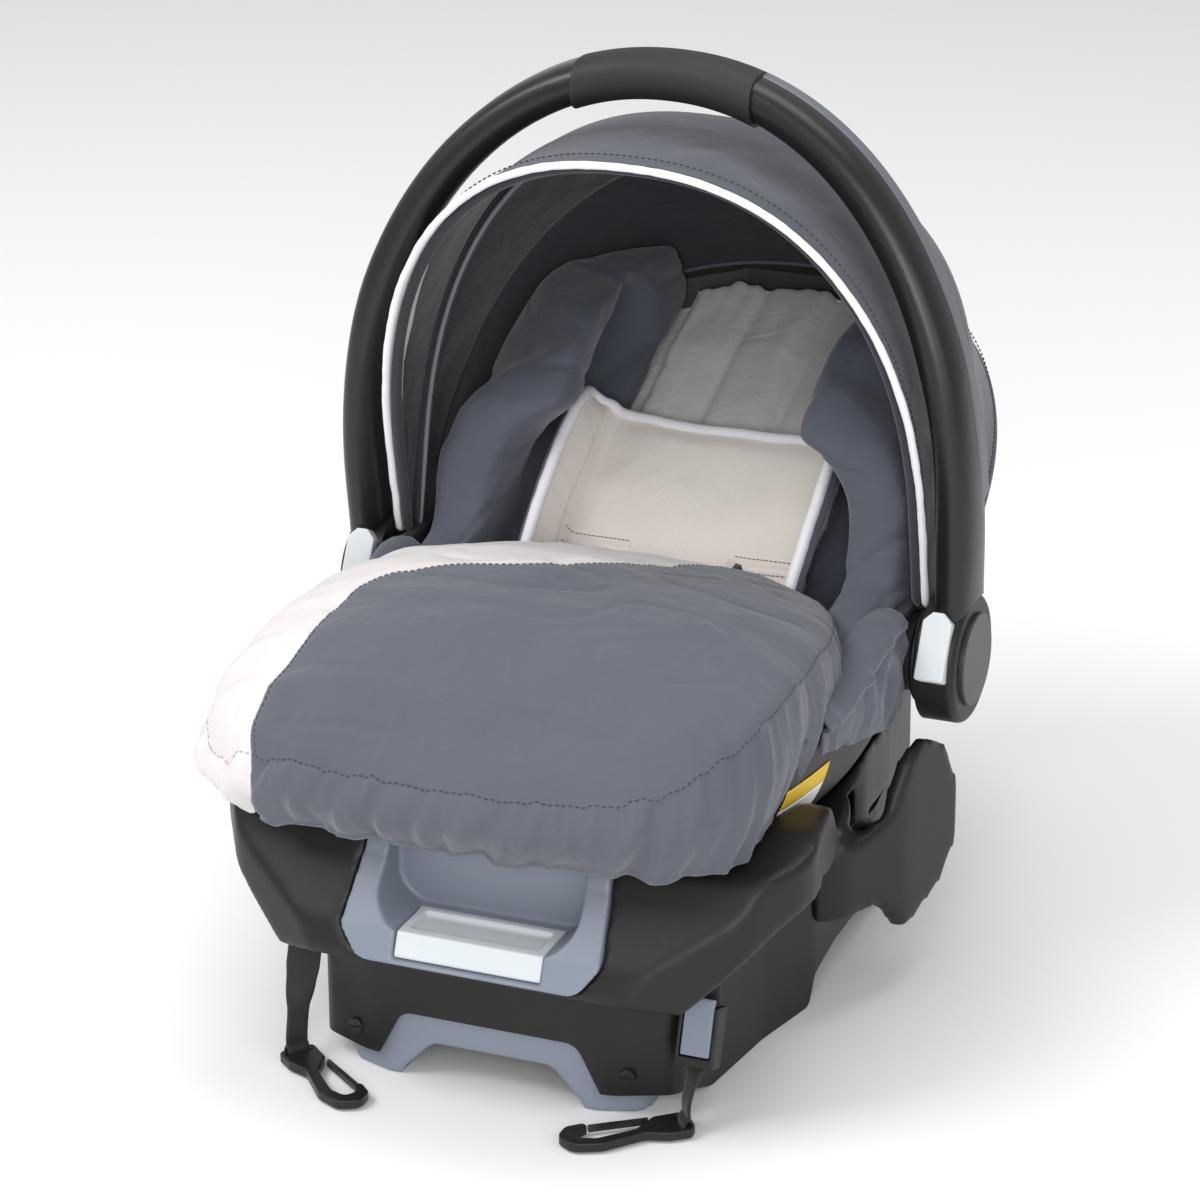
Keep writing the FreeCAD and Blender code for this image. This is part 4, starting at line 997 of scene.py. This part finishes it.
def makeInsert():
    s = insertShape
    points, raw = [], []
    for i in range(s["rows"]):
        y = s["bottom"] + (s["top"] - s["bottom"]) * i / (s["rows"] - 1)
        slope = math.atan2(seatHeight(y + 8) - seatHeight(y - 8), 16)
        base = seatHeight(y) + s["rise"] + s["wall"]
        dip = 5.0 * smoothStep(y, 85, 120)
        for x, h in insertSection(y):
            middle = 1 - min(1, abs(x) / 84) ** 2
            along = y - dip * middle - h * math.sin(slope) * 0.55
            points.append(place(x, along, base + h * math.cos(slope)))
            raw.append((x, y, h))
    faces = gridFaces(s["rows"], s["columns"])
    piece = newPiece("insert_cloth", points, faces, looks["insertCloth"], looks["darkCloth"])
    raw = np.array(raw)
    mesh = piece.data
    if mesh.polygons[len(mesh.polygons) // 2].normal.z < 0:
        mesh.flip_normals()
    at, normals = pointsOf(piece), normalsOf(piece)
    x, y = raw[:, 0], raw[:, 1]
    edge = smoothStep(y, s["bottom"], s["bottom"] + 10) * smoothStep(s["top"] - y, 0, 14)
    puff = 3.4 * edge * np.cos(np.clip(x / s["half"], -1, 1) * math.pi / 2) + 2.2 * edge * (np.abs(x) > 84)
    channel = -2.6 * np.exp(-((np.abs(x) - 77) / 4.0) ** 2)
    slots = np.zeros(len(raw))
    for c in s["slots"]:
        slots += -7.0 * np.exp(-((y - s["slotAt"]) / 2.0) ** 2) * smoothStep(22 - np.abs(x - c), 0, 3)
    wrinkle = (roughness(at, 0.03, 3.0) * 1.1
               + roughness(at, 0.012, 5.0, (1, 0.3, 0.3)) * 0.8 * (0.3 + smoothStep(y, 95, 118)))
    movePoints(piece, at + normals * (puff + channel + slots + wrinkle)[:, None] * mm)
    surface = pointsOf(piece).reshape(s["rows"], s["columns"], 3)
    thicken(piece, s["wall"] * mm, innerMaterial=1)
    finishPiece(piece, "carrier", "infant_insert", slot="insert_fabric")
    border = np.concatenate([surface[:, 0], surface[-1, 1:], surface[::-1, -1][1:]])
    border = resample(border, 320)
    for _ in range(6):  # rounds the two upper corners
        border[1:-1] = (border[:-2] + border[1:-1] * 2 + border[2:]) / 4
    piping = tubeMesh("insert_piping", border, s["piping"] * mm, looks["pipingCloth"], ripple=0.08)
    finishPiece(piping, "carrier", slot="insert_fabric")
    runs = []
    row = int((s["slotAt"] - s["bottom"]) / (s["top"] - s["bottom"]) * (s["rows"] - 1))
    for c in s["slots"]:
        column = [k for k in range(s["columns"]) if abs(raw[k][0] - c) < 21]
        for off in (-2, 2):
            runs.append([surface[row + off][k] + np.array((0, 0, 0.0006)) for k in column])
    slotSeams = stitch("insert_slot_stitches", runs, looks["stitchBrown"], spacing=0.003, length=0.0024,
                       thickness=0.0004)
    finishPiece(slotSeams, "carrier", slot="insert_fabric")


makeInsert()
print("stage: insert made")


def shellTree():
    shell = frame["nodes"]["carrier_shell"].data
    return BVHTree.FromPolygons([v.co for v in shell.vertices], [tuple(p.vertices) for p in shell.polygons])


def makeRimCover():
    settings = {"ends": (-164.0, -33.0), "columns": 90, "rows": 30, "cloth": 1.6, "stand": 3.6, "most": 183.0,
                "edge": ((-180, -168, -107, -58, -30), (222, 206, 192, 179, 170)),
                "turned": ((-1.0, 3.0), (-7.0, 4.6), (-14.0, 3.4), (-22.0, -2.0), (-28.0, -9.0))}
    tree = shellTree()
    for side, name in ((-1, "left"), (1, "right")):
        points, folded = [], []  # folded: part of the hanging side, which has the folds
        for y in np.linspace(*settings["ends"], settings["columns"]):
            down = [tree.ray_cast(place(side * x, y, 420), Vector((0, 0, -1)))[0] for x in range(148, 184, 3)]
            rim = max(hit.z for hit in down if hit) / mm
            foot = float(np.interp(y, *settings["edge"]))
            reach = 0
            for z in np.linspace(foot, rim - 2.5, settings["rows"]):
                hit = tree.ray_cast(place(side * 300, y, z), Vector((-side, 0, 0)))[0]
                reach = abs(hit.x) / mm if hit else reach
                points.append((min(reach, settings["most"] - 2), y, z))
                folded.append(1.0)
            for inward, up in settings["turned"]:
                points.append((reach + inward, y, rim + up))
                folded.append(0.0)
        points = np.array(points)
        at = points * (side, 1, 1)
        folds = ridges(at * mm, 0.024, 3.0 + side, (1, 0.75, 0.5)) * 6.5 - 3.0
        folds += roughness(at * mm, 0.014, 5.0) * 1.8
        ends = smoothStep(points[:, 1], settings["ends"][0], settings["ends"][0] + 26)
        out = (settings["stand"] + np.clip(folds, -0.6, 4.5) * ends) * folded
        points[:, 0] = np.minimum(points[:, 0] + out, settings["most"])
        points[:, 2] += roughness(at * mm, 0.02, 9.0) * 3.0
        rows = settings["rows"] + len(settings["turned"])
        piece = newPiece("rim_cover_" + name, [tuple(place(side * x, y, z)) for x, y, z in points],
                         gridFaces(settings["columns"], rows, flip=side < 0), looks["darkCloth"])
        thicken(piece, settings["cloth"] * mm)
        finishPiece(piece, "carrier", slot="dark_fabric")


def makeLabel():
    # blank sticker low on the right of the shell, yellow over white
    settings = {"ends": (-192.0, -138.0), "heights": (150.0, 176.0, 190.0), "columns": 24, "rows": 10,
                "stand": 0.5, "paper": 0.4}
    tree = shellTree()
    for i, look in enumerate(("labelPaper", "labelYellow")):
        points = []
        for y in np.linspace(*settings["ends"], settings["columns"]):
            for z in np.linspace(settings["heights"][i], settings["heights"][i + 1], settings["rows"]):
                hit = tree.ray_cast(place(300, y, z), Vector((-1, 0, 0)))[0]
                points.append(tuple(hit + Vector((settings["stand"] * mm, 0, 0))))
        piece = newPiece("label_" + ("lower", "upper")[i], points,
                         gridFaces(settings["columns"], settings["rows"]), looks[look])
        thicken(piece, settings["paper"] * mm)
        finishPiece(piece, "carrier")


makeRimCover()
makeLabel()
print("stage: rim cover and label made")


mouldedParts = {  # node: (mesh size in mm, rounds of smoothing, look, body, slot)
    "base_upper": (3.0, 9, "blackPlastic", "base", "black_plastic"),
    "recline_bezel": (1.3, 6, "greyPlastic", "base", "grey_plastic"),
    "recline_lever": (0.9, 5, "palePlastic", "recline_lever", "light_plastic"),
    "recline_foot": (1.7, 6, "greyPlastic", "recline_foot", "grey_plastic"),
    "handle_button_left": (0.7, 4, "palePlastic", "handle_button_left", "light_plastic"),
    "handle_button_right": (0.7, 4, "palePlastic", "handle_button_right", "light_plastic"),
    "anchor_hook_left": (0.6, 5, "blackSteel", "anchor_hook_left", "black_steel"),
    "anchor_hook_right": (0.6, 5, "blackSteel", "anchor_hook_right", "black_steel"),
    "anchor_adjuster_body": (0.7, 4, "blackPlastic", "base", "black_plastic"),
    "anchor_adjuster_tab": (0.6, 12, "greyPlastic", "anchor_adjuster_tab", "grey_plastic"),
    "release_handle": (1.1, 5, "greyPlastic", "release_handle", "grey_plastic"),
    "release_housing": (1.4, 5, "blackPlastic", "carrier", "black_plastic"),
}


def makeMoulded():
    for node, (size, rounds, look, body, slot) in mouldedParts.items():
        part = copyOfNode(node, node + "_moulded", looks[look])
        remesh(part, size * mm, rounds)
        finishPiece(part, body, node, slot=slot)


makeMoulded()
print("stage: moulded parts made")


def makeStraps():
    # each strap ends in a loop round the bar of its hook; the loop is attached to the hook's body
    settings = {"width": 23.0, "atHook": 15.0, "thick": 2.0, "loopThick": 0.9, "bar": 2.25, "end": 11.5,
                "turns": {"left": -38.0, "right": -142.0},
                "loop": ((2.0, 11.2), (0.2, 8.6), (-0.55, 6.6), (-0.6, 3.8), (-0.5, 1.4), (0.3, 0.55),
                         (2.25, 0.5), (4.3, 0.55), (5.1, 1.4), (5.15, 3.8), (5.1, 6.6), (4.4, 8.6),
                         (2.5, 11.2))}
    for side in ("left", "right"):
        low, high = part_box("anchor_strap_" + side)
        x, eye = (low.x + high.x) / 2, high.y - 0.021
        turn = math.radians(settings["turns"][side])
        bar = Vector((math.cos(turn), math.sin(turn), 0))
        across = Vector((-math.sin(turn), math.cos(turn), 0))
        end = Vector((x, eye, 0)) + bar * settings["bar"] * mm
        path = smoothPath([Vector((x, eye + 0.0198, high.z)), Vector((x, eye + 0.0195, 0.076)),
                           Vector((x, eye + 0.0085, 0.041)), end + Vector((0, 0.001, 0.021)),
                           end + Vector((0, 0, settings["end"] * mm)), end + Vector((0, 0, 0.0095))], 70)
        share = np.linspace(0, 1, 70)
        widths = [settings["width"]] * 2 + [settings["atHook"]] * 2
        width = np.interp(share, [0, 0.45, 0.72, 1.0], widths) * mm
        lean = smoothStep(share, 0.5, 0.8)[:, None]
        sides = np.array((1.0, 0, 0)) * (1 - lean) + np.array(across) * lean
        strap = ribbonMesh("anchor_webbing_" + side, path, sides, width, settings["thick"] * mm,
                           looks["webbing"])
        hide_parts("anchor_strap_" + side)
        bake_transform(strap)
        around = smoothPath([end + bar * (along - settings["bar"]) * mm + Vector((0, 0, up * mm))
                             for along, up in settings["loop"]], 90)
        loop = ribbonMesh("anchor_loop_" + side, around, across, settings["atHook"] * mm,
                          settings["loopThick"] * mm, looks["webbing"])
        finishPiece(loop, "anchor_hook_" + side, slot="webbing")


makeStraps()
print("stage: anchor straps made")
